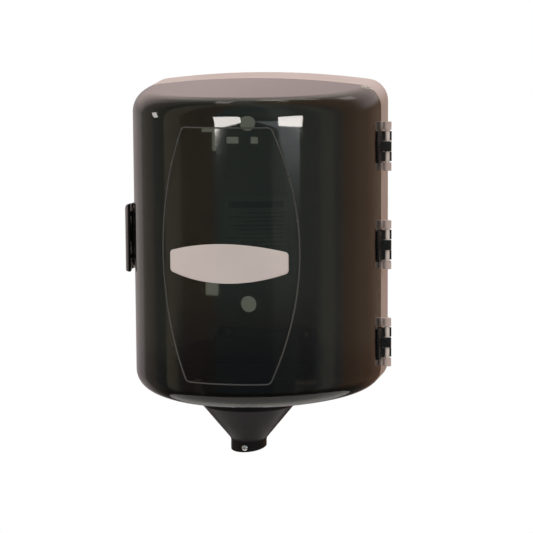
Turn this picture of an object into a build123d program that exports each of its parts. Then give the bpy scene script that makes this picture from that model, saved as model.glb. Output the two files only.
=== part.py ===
"""Wall-hung centre-pull hand towel dispenser: housing, hinged smoke cover, side latch and funnel.

All sizes are millimetres. The wall plane is y = 0, the front points to -Y, +X is the hinge side
and +Z is up. The origin is the centre of the four wall screw holes, on the wall plane.
"""
import os
from math import atan2, cos, pi, sin, sqrt

from build123d import *

os.makedirs("parts", exist_ok=True)

# Shared fits: anything seated in a hole, and how far a cutting sketch starts outside its face
seat_clearance = 0.02
cut_margin = 1.0

# Body: a straight-sided rear housing, then a cover whose plan is two flank arcs and a nose arc
half_width = 114.0
body_depth = 170.0
seam_depth = 38.0
body_top = 145.0
top_fall = 0.105
top_crown_radius = 795.0
body_bottom = -143.0
top_corner = 20.0
bottom_corner = 18.0
wall = 3.0
seam_gap = 0.4
tongue_length = 4.0
tongue_thickness = 1.2
tongue_root = 7.0
tongue_gap = 0.4
nose_share = 0.86

# Wall fixing and the openings moulded in the back wall
fixing_spacing_x = 34.0
fixing_spacing_z = 52.0
fixing_hole_radius = 3.0
fixing_boss_radius = 8.0
fixing_boss_height = 4.0
knockout_radius = 7.8
knockout_x = -19.2
upper_knockout_z = 97.9
lower_knockout_z = -74.0
slot_widths = (7.5, 12.4)
slot_height = 6.4
slot_places_x = (-12.6, -33.8)
slot_z = 81.3
corner_window_right = -49.7
corner_window_top = 92.9
corner_window_width = 14.6
corner_window_height = 21.5
corner_window_band = 4.2
side_window_x = -55.3
side_window_z = -60.0
side_window_size = 13.3

# Hinges: rods held in housing blocks, gripped by alternating half knuckles
hinge_reach = 5.9
hinge_centres = (79.8, -10.2, -100.2)
hinge_height = 44.4
block_height = 7.2
block_radius = 3.5
arm_depth = 4.6
rod_radius = 2.05
rod_blind = 1.6
knuckle_clearance = 0.08
knuckle_thickness = 1.6
front_knuckle_height = 9.0
rear_knuckle_height = 8.6
knuckle_gap = 0.5
leaf_thickness = 1.9
leaf_rear = 2.6
leaf_length = 13.5
leaf_height = 28.4
link_gap = 0.6
link_root = 1.5
link_rise = 0.3
rivet_radius = 1.3
rivet_head_radius = 2.2
rivet_head_height = 0.8
rivet_spacing = 18.0

# Roll axis, roll tray and its bracket
tray_rear_gap = 11.0
tray_front_gap = 9.0
tray_rim_z = -104.0
tray_floor_radius = 58.0
tray_floor_z = -121.0
tray_wall = 2.5
tray_hole_radius = 41.0
bracket_half_width = 48.0
bracket_top_z = -96.0
bracket_thickness = 3.5
shelf_z = -117.0
gusset_thickness = 3.0
gusset_top_reach = 12.0
gusset_foot_reach = 16.0
dish_headroom = 30.0
tray_screw_x = 38.0
tray_screw_z = (-101.5, -110.0)

# Outlet funnel and nozzle
funnel_wall = 2.4
flange_thickness = 2.5
flange_radius = 54.0
collar_radius = 42.6
cone_top_z = -152.0
cone_bottom_z = -184.0
neck_radius = 16.3
neck_blend = 6.0
lip_z = -192.1
lip_slope = 0.155
lip_lean = 0.07
funnel_screw_radius = 48.4
funnel_screw_count = 3
insert_clearance = 0.1
insert_bore_radius = 7.0
insert_seat_gap = 0.05
insert_flange_radius = 16.5
insert_flange_thickness = 1.8
insert_setback = 0.8
insert_bevel = 2.0
insert_screw_grip = 3.0
nozzle_screw_z = -190.4

# Screws
screw_radius = 1.6
screw_head_radius = 3.2
screw_head_height = 2.0
small_screw_radius = 1.2
small_head_radius = 2.7
small_head_height = 1.5
screw_end_gap = 0.5
screw_tip_y = -1.0

# Cover details
tongue_rest_x = 84.0
mouth_clearance = 7.4
mouth_right_flare = 4.0
mouth_left_flare = 14.0
ridge_width = 1.3
ridge_height = 0.7
ridge_root = 0.5
panel_top_z = 103.8
panel_bottom_z = -119.3
panel_middle_z = -7.7
panel_half_widths = (39.1, 61.2, 37.6)
panel_corner = 3.0
badge_z = -13.4
badge_half_length = 53.0
badge_middle_height = 34.4
badge_end_height = 18.0
badge_corner = 3.5
badge_seat_gap = 0.15
badge_pad_thickness = 0.3
badge_pad_margin = 2.0
badge_thickness = 1.4
label_left = -4.0
label_right = 52.0
label_bottom = -28.0
label_top = 43.0
label_thickness = 0.4
label_seat_gap = 0.1

# Latch: a push lever on an upright pin, on the cover's left side
latch_z = -4.1
latch_height = 63.0
latch_pin_out = 5.2
latch_pin_y = -54.0
latch_pin_radius = 1.2
latch_base_front = -64.0
latch_base_rear = -43.0
latch_base_height = 54.0
latch_base_thickness = 2.0
base_screw_inset = 5.0
base_screw_spacing = 36.0
ear_spacing = 36.0
ear_height = 4.0
ear_radius = 2.3
ear_foot_gap = 0.5
hub_radius = 2.3
lever_bulge_out = 8.4
lever_bulge_y = -53.0
lever_rear_out = 5.4
lever_rear_y = -41.0
lever_front_out = 6.0
lever_front_y = -76.0
lever_inner_gap = 2.4
lever_nose_out = 4.5
lever_nose_taper = 2.5
lever_waist_y = -56.0
lever_top_round = 9.5
lever_top_draw = 0.9
lever_bottom_draw = 1.9
lever_skin = 1.0
pocket_clearance = 0.5
spring_room = 6.0
hook_height = 18.0
hook_arm_thickness = 2.4
hook_end_y = -27.0
hook_tooth_depth = 3.0
hook_tooth_gap = 1.5
hook_root_overlap = 1.0
catch_height = 22.0
catch_thickness = 0.8
catch_barb_reach = 4.2
catch_play = 0.5
catch_ramp = 6.5
barb_land = 1.0
catch_rear_y = -7.5
catch_screw_y = -14.5
catch_screw_spacing = 12.0
spring_wire_radius = 0.3
spring_turns = 4
spring_clearance = 0.35
spring_pin_gap = 0.2

# Values worked out from the sizes above
hinge_x = half_width + hinge_reach
tray_rim_radius = (body_depth - 2 * wall - tray_rear_gap - tray_front_gap) / 2
roll_y = -wall - tray_rear_gap - tray_rim_radius
nose_radius = nose_share * half_width
nose_y = nose_radius - body_depth
nose_rise = -seam_depth - nose_y
flank_radius = (half_width**2 + nose_rise**2 - nose_radius**2) / (2 * (half_width - nose_radius))
flank_x = half_width - flank_radius
joint_angle = atan2(nose_rise, -flank_x)
knuckle_inner = rod_radius + knuckle_clearance
knuckle_outer = knuckle_inner + knuckle_thickness
rivet_y = -seam_depth - leaf_rear - leaf_length / 2
base_screw_y = latch_base_front + base_screw_inset


def flank_point(side, share, inset):
    """Point of a flank arc drawn in by inset: share runs from 0 at the seam to 1 at the nose."""
    angle = share * joint_angle
    reach = flank_radius - inset
    return (side * (flank_x + reach * cos(angle)), -seam_depth - reach * sin(angle))


def front_line(inset):
    """Draw the front plan drawn in by inset: left flank arc, nose arc, right flank arc."""
    left = [flank_point(-1, share, inset) for share in (0, 0.5, 1)]
    right = [flank_point(1, share, inset) for share in (1, 0.5, 0)]
    ThreePointArc(*left)
    ThreePointArc(left[-1], (0, inset - body_depth), right[0])
    ThreePointArc(*right)


def body_form(inset, back=0.0):
    """Whole outer form of the body drawn in by inset, with its flat rear face at y = -back."""
    with BuildPart() as form:
        with BuildSketch(Plane.XY.offset(body_bottom + inset)):
            with BuildLine():
                front_line(inset)
                Polyline(
                    flank_point(1, 0, inset),
                    (half_width - inset, -back),
                    (inset - half_width, -back),
                    flank_point(-1, 0, inset),
                )
            make_face()
        extrude(amount=2 * (body_top - body_bottom))
        # The roof is part of a wide cylinder that falls to the front
        ridge_line = Plane(origin=(0, 0, body_top), x_dir=(1, 0, 0), z_dir=(0, 1, top_fall))
        with BuildSketch(ridge_line):
            with Locations((0, top_crown_radius)):
                Circle(top_crown_radius - inset)
        extrude(amount=2 * body_depth, both=True, mode=Mode.INTERSECT)
        top_face = form.faces().sort_by(Axis.Z)[-1]
        fillet(top_face.edges().filter_by(lambda e: e.center().Y < -back - cut_margin), top_corner - inset)
        low_face = form.faces().sort_by(Axis.Z)[0]
        fillet(low_face.edges().filter_by(lambda e: e.center().Y < -back - cut_margin), bottom_corner - inset)
    return form.part


def side_x(y):
    """Half width of the body's plan at depth y, for a y between the seam and the nose arc."""
    return flank_x + sqrt(flank_radius**2 - (y + seam_depth) ** 2)


def side_plane(side, y, z, inset=0.0):
    """Plane on a flank (side is -1 or 1), drawn in by inset, at depth y and height z."""
    normal = (side * (side_x(y) - flank_x) / flank_radius, (y + seam_depth) / flank_radius, 0)
    spot = (side * side_x(y) - inset * normal[0], y - inset * normal[1], z)
    return Plane(origin=spot, x_dir=(0, 0, 1), z_dir=normal)


def slab(low, high):
    """Plain box between two opposite corners, outside any builder."""
    size = [high[i] - low[i] for i in range(3)]
    middle = [(high[i] + low[i]) / 2 for i in range(3)]
    return Pos(*middle) * Box(*size)


outer_form = body_form(0.0)
chamber_form = body_form(wall, wall)

# Rear housing: back wall, straight side walls, hinge blocks and a sealing tongue
tongue_outer = body_form(wall + tongue_gap)
tongue_inner = body_form(wall + tongue_gap + tongue_thickness)
tongue_back_y = tongue_root - seam_depth
tongue_front_y = -seam_depth - tongue_length
tongue_fixed_band = slab(
    (-half_width, -seam_depth, body_bottom), (half_width, tongue_back_y, body_top)
)
tongue_free_band = slab(
    (-half_width, tongue_front_y, body_bottom), (half_width, tongue_back_y, body_top)
)
bottom_notch = slab(
    (-tongue_rest_x, tongue_front_y, body_bottom),
    (tongue_rest_x, tongue_back_y, body_bottom + 2 * bottom_corner),
)
with BuildPart() as sealing_tongue:
    add(tongue_outer)
    add(tongue_inner, mode=Mode.SUBTRACT)
    add(tongue_free_band, mode=Mode.INTERSECT)
    add(bottom_notch, mode=Mode.SUBTRACT)
with BuildPart() as tongue_seat:
    add(outer_form)
    add(tongue_inner, mode=Mode.SUBTRACT)
    add(tongue_fixed_band, mode=Mode.INTERSECT)

with BuildPart() as rear_housing:
    add(outer_form)
    add(chamber_form, mode=Mode.SUBTRACT)
    split(bisect_by=Plane.XZ.offset(seam_depth), keep=Keep.BOTTOM)
    add(tongue_seat.part)
    add(sealing_tongue.part)
    # Bosses and screw holes for the wall
    with BuildSketch(Plane.XZ.offset(wall)):
        with GridLocations(fixing_spacing_x, fixing_spacing_z, 2, 2):
            Circle(fixing_boss_radius)
    extrude(amount=fixing_boss_height)
    with BuildSketch(Plane.XZ.offset(-cut_margin)):
        with GridLocations(fixing_spacing_x, fixing_spacing_z, 2, 2):
            Circle(fixing_hole_radius)
        with Locations((knockout_x, upper_knockout_z), (knockout_x, lower_knockout_z)):
            Circle(knockout_radius)
        for place_x, slot_width in zip(slot_places_x, slot_widths):
            with Locations((place_x, slot_z)):
                Rectangle(slot_width, slot_height)
        with Locations((side_window_x, side_window_z)):
            Rectangle(side_window_size, side_window_size)
        # The corner window is an upright band and a level one that share their top right corner
        top_right = (Align.MAX, Align.MAX)
        with Locations((corner_window_right, corner_window_top)):
            Rectangle(corner_window_band, corner_window_height, align=top_right)
            Rectangle(corner_window_width, corner_window_band, align=top_right)
    extrude(amount=wall + fixing_boss_height + 2 * cut_margin, mode=Mode.SUBTRACT)
    # Screw holes for the tray bracket
    with BuildSketch(Plane.XZ.offset(-screw_tip_y)):
        for screw_z in tray_screw_z:
            with Locations((-tray_screw_x, screw_z), (tray_screw_x, screw_z)):
                Circle(screw_radius + seat_clearance)
    extrude(amount=wall, mode=Mode.SUBTRACT)
    # Two blocks for each hinge rod, on arms that reach out behind the seam
    for centre_z in hinge_centres:
        for block_z in (centre_z - hinge_height / 2, centre_z + hinge_height / 2 - block_height):
            with BuildSketch(Plane.XY.offset(block_z)):
                with Locations((hinge_x, -seam_depth)):
                    Circle(block_radius)
                arm_length = hinge_reach + wall / 2
                with Locations((hinge_x - arm_length / 2, -seam_depth + arm_depth / 2 + seam_gap)):
                    Rectangle(arm_length, arm_depth)
            extrude(amount=block_height)
        with BuildSketch(Plane.XY.offset(centre_z - hinge_height / 2 + rod_blind)):
            with Locations((hinge_x, -seam_depth)):
                Circle(rod_radius + seat_clearance)
        extrude(amount=hinge_height - 2 * rod_blind, mode=Mode.SUBTRACT)
    # Screw holes for the latch's catch
    with BuildSketch(Plane.YZ.offset(-half_width - cut_margin)):
        for offset_z in (-catch_screw_spacing / 2, catch_screw_spacing / 2):
            with Locations((catch_screw_y, latch_z + offset_z)):
                Circle(small_screw_radius + seat_clearance)
    extrude(amount=wall + 2 * cut_margin, mode=Mode.SUBTRACT)
rear_housing.part.label = "rear_housing"
export_step(rear_housing.part, "parts/rear_housing.step")

# Hinge rods
hinge_names = ("top", "middle", "bottom")
for name, centre_z in zip(hinge_names, hinge_centres):
    with BuildPart() as hinge_rod:
        with BuildSketch(Plane.XY.offset(centre_z - hinge_height / 2 + rod_blind)):
            with Locations((hinge_x, -seam_depth)):
                Circle(rod_radius)
        extrude(amount=hinge_height - 2 * rod_blind)
    hinge_rod.part.label = f"hinge_rod_{name}"
    export_step(hinge_rod.part, f"parts/hinge_rod_{name}.step")

# Roll tray: a dished ring with a bracket that screws to the back wall
roll_axis = Axis((0, roll_y, 0), (0, 0, 1))
roll_plane = Plane(origin=(0, roll_y, 0), x_dir=(1, 0, 0), z_dir=(0, -1, 0))
dish_inner_floor = tray_floor_z + tray_wall
with BuildPart() as dish_hollow:
    with BuildSketch(roll_plane):
        with BuildLine():
            Polyline(
                (0, dish_inner_floor),
                (tray_floor_radius - tray_wall, dish_inner_floor),
                (tray_rim_radius - tray_wall, tray_rim_z),
                (tray_rim_radius - tray_wall, tray_rim_z + dish_headroom),
                (0, tray_rim_z + dish_headroom),
                close=True,
            )
        make_face()
    revolve(axis=roll_axis)
with BuildPart() as roll_tray:
    with BuildSketch(Plane.XZ.offset(wall)):
        with Locations((0, (bracket_top_z + shelf_z) / 2)):
            Rectangle(2 * bracket_half_width, bracket_top_z - shelf_z)
    extrude(amount=bracket_thickness)
    with BuildSketch(Plane.XY.offset(shelf_z)):
        with Locations((0, -wall)):
            Rectangle(2 * bracket_half_width, -roll_y / 2, align=(Align.CENTER, Align.MAX))
    extrude(amount=gusset_thickness)
    for side in (-1, 1):
        start_x = side * bracket_half_width - (gusset_thickness if side > 0 else 0)
        with BuildSketch(Plane.YZ.offset(start_x)):
            with BuildLine():
                Polyline(
                    (-wall, shelf_z),
                    (-wall, bracket_top_z),
                    (roll_y + tray_rim_radius - gusset_top_reach, tray_rim_z),
                    (roll_y + tray_rim_radius - gusset_foot_reach, shelf_z),
                    close=True,
                )
            make_face()
        extrude(amount=gusset_thickness)
    add(dish_hollow.part, mode=Mode.SUBTRACT)
    with BuildSketch(roll_plane):
        with BuildLine():
            Polyline(
                (tray_hole_radius, tray_floor_z),
                (tray_floor_radius, tray_floor_z),
                (tray_rim_radius, tray_rim_z - tray_wall),
                (tray_rim_radius, tray_rim_z),
                (tray_rim_radius - tray_wall, tray_rim_z),
                (tray_floor_radius - tray_wall, dish_inner_floor),
                (tray_hole_radius, dish_inner_floor),
                close=True,
            )
        make_face()
    revolve(axis=roll_axis)
    with BuildSketch(Plane.XZ):
        for screw_z in tray_screw_z:
            with Locations((-tray_screw_x, screw_z), (tray_screw_x, screw_z)):
                Circle(screw_radius + seat_clearance)
    extrude(amount=wall + bracket_thickness + cut_margin, mode=Mode.SUBTRACT)
    with BuildSketch(Plane.XY.offset(tray_floor_z - cut_margin)):
        with Locations((0, roll_y)):
            with PolarLocations(funnel_screw_radius, funnel_screw_count, start_angle=90):
                Circle(screw_radius + seat_clearance)
    extrude(amount=tray_wall + 2 * cut_margin, mode=Mode.SUBTRACT)
roll_tray.part.label = "roll_tray"
export_step(roll_tray.part, "parts/roll_tray.step")

# Screws that hold the bracket to the back wall
with BuildPart() as tray_screws:
    with BuildSketch(Plane.XZ.offset(-screw_tip_y)):
        for screw_z in tray_screw_z:
            with Locations((-tray_screw_x, screw_z), (tray_screw_x, screw_z)):
                Circle(screw_radius)
    extrude(amount=wall + bracket_thickness + screw_tip_y)
    with BuildSketch(Plane.XZ.offset(wall + bracket_thickness)):
        for screw_z in tray_screw_z:
            with Locations((-tray_screw_x, screw_z), (tray_screw_x, screw_z)):
                Circle(screw_head_radius)
    extrude(amount=screw_head_height)
tray_screws.part.label = "tray_screws"
export_step(tray_screws.part, "parts/tray_screws.step")

# Outlet funnel under the tray, its lip cut on a slant that dips to the front and left
flange_bottom_z = tray_floor_z - flange_thickness
lip_plane = Plane(origin=(0, roll_y, lip_z), z_dir=(-lip_lean, -lip_slope, 1))
with BuildPart() as outlet_funnel:
    with BuildSketch(roll_plane):
        with BuildLine():
            outside = Polyline(
                (collar_radius - funnel_wall, tray_floor_z),
                (flange_radius, tray_floor_z),
                (flange_radius, flange_bottom_z),
                (collar_radius, flange_bottom_z),
                (collar_radius, cone_top_z),
            )
            flank = FilletPolyline(
                outside @ 1,
                (neck_radius, cone_bottom_z),
                (neck_radius, lip_z - neck_radius),
                radius=neck_blend,
            )
            inside = FilletPolyline(
                (neck_radius - funnel_wall, lip_z - neck_radius),
                (neck_radius - funnel_wall, cone_bottom_z),
                (collar_radius - funnel_wall, cone_top_z),
                radius=neck_blend,
            )
            Line(flank @ 1, inside @ 0)
            Line(inside @ 1, outside @ 0)
        make_face()
    revolve(axis=roll_axis)
    split(bisect_by=lip_plane, keep=Keep.TOP)
    with BuildSketch(Plane.XY.offset(flange_bottom_z - cut_margin)):
        with Locations((0, roll_y)):
            with PolarLocations(funnel_screw_radius, funnel_screw_count, start_angle=90):
                Circle(screw_radius + seat_clearance)
    extrude(amount=flange_thickness + 2 * cut_margin, mode=Mode.SUBTRACT)
    with BuildSketch(Plane.XZ.offset(-roll_y + neck_radius - funnel_wall - cut_margin)):
        with Locations((0, nozzle_screw_z)):
            Circle(small_screw_radius + seat_clearance)
    extrude(amount=funnel_wall + 2 * cut_margin, mode=Mode.SUBTRACT)
outlet_funnel.part.label = "outlet_funnel"
export_step(outlet_funnel.part, "parts/outlet_funnel.step")

# Screws up through the funnel's flange into the tray
with BuildPart() as funnel_screws:
    with BuildSketch(Plane.XY.offset(flange_bottom_z)):
        with Locations((0, roll_y)):
            with PolarLocations(funnel_screw_radius, funnel_screw_count, start_angle=90):
                Circle(screw_head_radius)
    extrude(amount=-screw_head_height)
    with BuildSketch(Plane.XY.offset(flange_bottom_z)):
        with Locations((0, roll_y)):
            with PolarLocations(funnel_screw_radius, funnel_screw_count, start_angle=90):
                Circle(screw_radius)
    extrude(amount=flange_thickness + tray_wall)
funnel_screws.part.label = "funnel_screws"
export_step(funnel_screws.part, "parts/funnel_screws.step")

# Nozzle insert: a rounded orifice ring that hangs from the bottom of the cone
insert_radius = neck_radius - funnel_wall - insert_clearance
cone_rise = (cone_top_z - cone_bottom_z) / (collar_radius - neck_radius)
seat_reach = insert_flange_radius - (neck_radius - funnel_wall)
insert_seat_z = cone_bottom_z + seat_reach * cone_rise + insert_seat_gap
insert_top_z = insert_seat_z + insert_flange_thickness
with BuildPart() as nozzle_insert:
    with BuildSketch(roll_plane):
        with BuildLine():
            Polyline(
                (insert_bore_radius, lip_z - neck_radius),
                (insert_radius, lip_z - neck_radius),
                (insert_radius, insert_seat_z),
                (insert_flange_radius, insert_seat_z),
                (insert_flange_radius, insert_top_z),
                (insert_bore_radius + insert_bevel, insert_top_z),
                (insert_bore_radius, insert_top_z - insert_bevel),
                close=True,
            )
        make_face()
    revolve(axis=roll_axis)
    split(bisect_by=lip_plane.offset(insert_setback), keep=Keep.TOP)
    with BuildSketch(Plane.XZ.offset(-roll_y + insert_radius - insert_screw_grip)):
        with Locations((0, nozzle_screw_z)):
            Circle(small_screw_radius + seat_clearance)
    extrude(amount=insert_screw_grip + cut_margin, mode=Mode.SUBTRACT)
nozzle_insert.part.label = "nozzle_insert"
export_step(nozzle_insert.part, "parts/nozzle_insert.step")

# Small screw that pins the insert from the front
with BuildPart() as nozzle_screw:
    with BuildSketch(Plane.XZ.offset(-roll_y + insert_radius - insert_screw_grip)):
        with Locations((0, nozzle_screw_z)):
            Circle(small_screw_radius)
    extrude(amount=insert_screw_grip + insert_clearance + funnel_wall)
    with BuildSketch(Plane.XZ.offset(-roll_y + neck_radius)):
        with Locations((0, nozzle_screw_z)):
            Circle(small_head_radius)
    extrude(amount=small_head_height)
nozzle_screw.part.label = "nozzle_screw"
export_step(nozzle_screw.part, "parts/nozzle_screw.step")

# Front cover: see-through shell with an open back and an open bottom
with BuildPart() as panel_ridge:
    with BuildSketch(Plane.XZ.offset(seam_depth)):
        with BuildLine():
            top_half, middle_half, bottom_half = panel_half_widths
            Line((-top_half, panel_top_z), (top_half, panel_top_z))
            ThreePointArc(
                (top_half, panel_top_z), (middle_half, panel_middle_z), (bottom_half, panel_bottom_z)
            )
            Line((bottom_half, panel_bottom_z), (-bottom_half, panel_bottom_z))
            ThreePointArc(
                (-bottom_half, panel_bottom_z), (-middle_half, panel_middle_z), (-top_half, panel_top_z)
            )
        panel_face = make_face()
        fillet(panel_face.vertices(), panel_corner)
        offset(amount=-ridge_width, mode=Mode.SUBTRACT)
    extrude(amount=body_depth)
    add(body_form(-ridge_height), mode=Mode.INTERSECT)
    add(body_form(ridge_root), mode=Mode.SUBTRACT)

cover_rear_y = -seam_depth - seam_gap
with BuildPart() as front_cover:
    add(outer_form)
    add(chamber_form, mode=Mode.SUBTRACT)
    split(bisect_by=Plane.XZ.offset(-cover_rear_y), keep=Keep.TOP)
    add(panel_ridge.part)
    # Mouth round the funnel, flared to the back so that the open cover swings clear of it
    mouth_radius = collar_radius + mouth_clearance
    with BuildSketch(Plane.XY.offset(body_bottom - cut_margin)):
        with BuildLine():
            ThreePointArc(
                (-mouth_radius, roll_y), (0, roll_y - mouth_radius), (mouth_radius, roll_y)
            )
            Polyline(
                (mouth_radius, roll_y),
                (mouth_radius + mouth_right_flare, -seam_depth),
                (-mouth_radius - mouth_left_flare, -seam_depth),
                (-mouth_radius, roll_y),
            )
        make_face()
    extrude(amount=wall + 2 * cut_margin, mode=Mode.SUBTRACT)
    for centre_z in hinge_centres:
        for offset_z in (-rivet_spacing / 2, rivet_spacing / 2):
            with BuildSketch(side_plane(1, rivet_y, centre_z + offset_z)):
                Circle(rivet_radius + seat_clearance)
            extrude(amount=2 * wall, both=True, mode=Mode.SUBTRACT)
    for offset_z in (-base_screw_spacing / 2, base_screw_spacing / 2):
        with BuildSketch(side_plane(-1, base_screw_y, latch_z + offset_z)):
            Circle(small_screw_radius + seat_clearance)
        extrude(amount=2 * wall, both=True, mode=Mode.SUBTRACT)
front_cover.part.label = "front_cover"
export_step(front_cover.part, "parts/front_cover.step")

# Hinge clips: a curved leaf on the cover's side with one front and two rear half knuckles
leaf_outer = body_form(-leaf_thickness)
for name, centre_z in zip(hinge_names, hinge_centres):
    leaf_box = slab(
        (half_width / 2, -seam_depth - leaf_rear - leaf_length, centre_z - leaf_height / 2),
        (hinge_x, -seam_depth - leaf_rear, centre_z + leaf_height / 2),
    )
    with BuildPart() as hinge_clip:
        add(leaf_outer)
        add(outer_form, mode=Mode.SUBTRACT)
        add(leaf_box, mode=Mode.INTERSECT)
        # Front half knuckle, at the middle
        link_left = half_width + link_gap
        link_depth = leaf_rear + link_root
        with BuildSketch(Plane.XY.offset(centre_z - front_knuckle_height / 2)):
            with Locations((hinge_x, -seam_depth)):
                Circle(knuckle_outer)
                Rectangle(
                    2 * hinge_reach, hinge_reach, align=(Align.CENTER, Align.MIN), mode=Mode.SUBTRACT
                )
            with Locations((link_left, -seam_depth)):
                Rectangle(hinge_x - link_left, link_depth, align=(Align.MIN, Align.MAX))
            with Locations((hinge_x, -seam_depth)):
                Circle(knuckle_inner, mode=Mode.SUBTRACT)
        extrude(amount=front_knuckle_height)
        # Rear half knuckles, above and below it
        rear_low = centre_z - front_knuckle_height / 2 - knuckle_gap - rear_knuckle_height
        rear_high = centre_z + front_knuckle_height / 2 + knuckle_gap
        for rear_z in (rear_low, rear_high):
            with BuildSketch(Plane.XY.offset(rear_z)):
                with Locations((hinge_x, -seam_depth)):
                    Circle(knuckle_outer)
                    Rectangle(
                        2 * hinge_reach, hinge_reach, align=(Align.CENTER, Align.MAX), mode=Mode.SUBTRACT
                    )
                with Locations((link_left, link_rise - seam_depth)):
                    Rectangle(
                        hinge_x - knuckle_inner - link_left,
                        link_depth + link_rise,
                        align=(Align.MIN, Align.MAX),
                    )
                with Locations((hinge_x, -seam_depth)):
                    Circle(knuckle_inner, mode=Mode.SUBTRACT)
            extrude(amount=rear_knuckle_height)
        for offset_z in (-rivet_spacing / 2, rivet_spacing / 2):
            with BuildSketch(side_plane(1, rivet_y, centre_z + offset_z)):
                Circle(rivet_radius + seat_clearance)
            extrude(amount=2 * wall, both=True, mode=Mode.SUBTRACT)
    hinge_clip.part.label = f"hinge_clip_{name}"
    export_step(hinge_clip.part, f"parts/hinge_clip_{name}.step")

# Rivets that hold the three clips to the cover
with BuildPart() as clip_rivets:
    for centre_z in hinge_centres:
        for offset_z in (-rivet_spacing / 2, rivet_spacing / 2):
            outside_spot = side_plane(1, rivet_y, centre_z + offset_z, -leaf_thickness)
            inside_spot = side_plane(1, rivet_y, centre_z + offset_z, wall)
            with BuildSketch(outside_spot):
                Circle(rivet_radius)
            extrude(amount=-wall - leaf_thickness)
            with BuildSketch(outside_spot):
                Circle(rivet_head_radius)
            extrude(amount=rivet_head_height)
            with BuildSketch(inside_spot):
                Circle(rivet_head_radius)
            extrude(amount=-rivet_head_height)
clip_rivets.part.label = "clip_rivets"
export_step(clip_rivets.part, "parts/clip_rivets.step")


def badge_outline(margin):
    """Badge face in the front view: two shallow arcs joined by short upright ends."""
    half_end = badge_end_height / 2 - margin
    half_middle = badge_middle_height / 2 - margin
    reach = badge_half_length - margin
    front_view = Plane(origin=(0, -seam_depth, badge_z), x_dir=(1, 0, 0), z_dir=(0, -1, 0))
    with BuildSketch(front_view) as outline:
        with BuildLine():
            ThreePointArc((-reach, half_end), (0, half_middle), (reach, half_end))
            Line((reach, half_end), (reach, -half_end))
            ThreePointArc((reach, -half_end), (0, -half_middle), (-reach, -half_end))
            Line((-reach, -half_end), (-reach, half_end))
        badge_face = make_face()
        fillet(badge_face.vertices(), badge_corner)
    return outline.sketch


# Badge plate and the adhesive pad under it
with BuildPart() as badge_pad:
    extrude(badge_outline(badge_pad_margin), amount=body_depth)
    add(body_form(-badge_seat_gap - badge_pad_thickness), mode=Mode.INTERSECT)
    add(body_form(-badge_seat_gap), mode=Mode.SUBTRACT)
badge_pad.part.label = "badge_pad"
export_step(badge_pad.part, "parts/badge_pad.step")

plate_seat = badge_pad_thickness + 2 * badge_seat_gap
with BuildPart() as badge_plate:
    extrude(badge_outline(0.0), amount=body_depth)
    add(body_form(-plate_seat - badge_thickness), mode=Mode.INTERSECT)
    add(body_form(-plate_seat), mode=Mode.SUBTRACT)
badge_plate.part.label = "badge_plate"
export_step(badge_plate.part, "parts/badge_plate.step")

# Instruction label on the inner face of the cover
label_seat = wall + label_seat_gap
label_box = slab(
    (label_left, -body_depth, label_bottom), (label_right, -seam_depth - wall, label_top)
)
with BuildPart() as instruction_label:
    add(body_form(label_seat))
    add(body_form(label_seat + label_thickness), mode=Mode.SUBTRACT)
    add(label_box, mode=Mode.INTERSECT)
instruction_label.part.label = "instruction_label"
export_step(instruction_label.part, "parts/instruction_label.step")

# Latch base: a curved plate with two ears for the pin
pin_x = -side_x(latch_pin_y) - latch_pin_out
base_box = slab(
    (-half_width - latch_pin_out, latch_base_front, latch_z - latch_base_height / 2),
    (-half_width / 2, latch_base_rear, latch_z + latch_base_height / 2),
)
ear_bottoms = (latch_z - ear_spacing / 2 - ear_height, latch_z + ear_spacing / 2)
with BuildPart() as latch_base:
    add(body_form(-latch_base_thickness))
    add(outer_form, mode=Mode.SUBTRACT)
    add(base_box, mode=Mode.INTERSECT)
    for ear_z in ear_bottoms:
        with BuildSketch(Plane.XY.offset(ear_z)):
            with Locations((pin_x, latch_pin_y)):
                Circle(ear_radius)
                Rectangle(latch_pin_out - ear_foot_gap, 2 * ear_radius, align=(Align.MIN, Align.CENTER))
                Circle(latch_pin_radius + seat_clearance, mode=Mode.SUBTRACT)
        extrude(amount=ear_height)
    for offset_z in (-base_screw_spacing / 2, base_screw_spacing / 2):
        with BuildSketch(side_plane(-1, base_screw_y, latch_z + offset_z)):
            Circle(small_screw_radius + seat_clearance)
        extrude(amount=latch_base_thickness - screw_end_gap, mode=Mode.SUBTRACT)
latch_base.part.label = "latch_base"
export_step(latch_base.part, "parts/latch_base.step")

# Screws from inside the cover into the latch base
with BuildPart() as latch_base_screws:
    for offset_z in (-base_screw_spacing / 2, base_screw_spacing / 2):
        spot = side_plane(-1, base_screw_y, latch_z + offset_z, wall)
        with BuildSketch(spot):
            Circle(small_screw_radius)
        extrude(amount=wall + latch_base_thickness - screw_end_gap)
        with BuildSketch(spot):
            Circle(small_head_radius)
        extrude(amount=-small_head_height)
latch_base_screws.part.label = "latch_base_screws"
export_step(latch_base_screws.part, "parts/latch_base_screws.step")

# Latch pin
with BuildPart() as latch_pin:
    with BuildSketch(Plane.XY.offset(ear_bottoms[0])):
        with Locations((pin_x, latch_pin_y)):
            Circle(latch_pin_radius)
    extrude(amount=ear_spacing + 2 * ear_height)
latch_pin.part.label = "latch_pin"
export_step(latch_pin.part, "parts/latch_pin.step")

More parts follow.
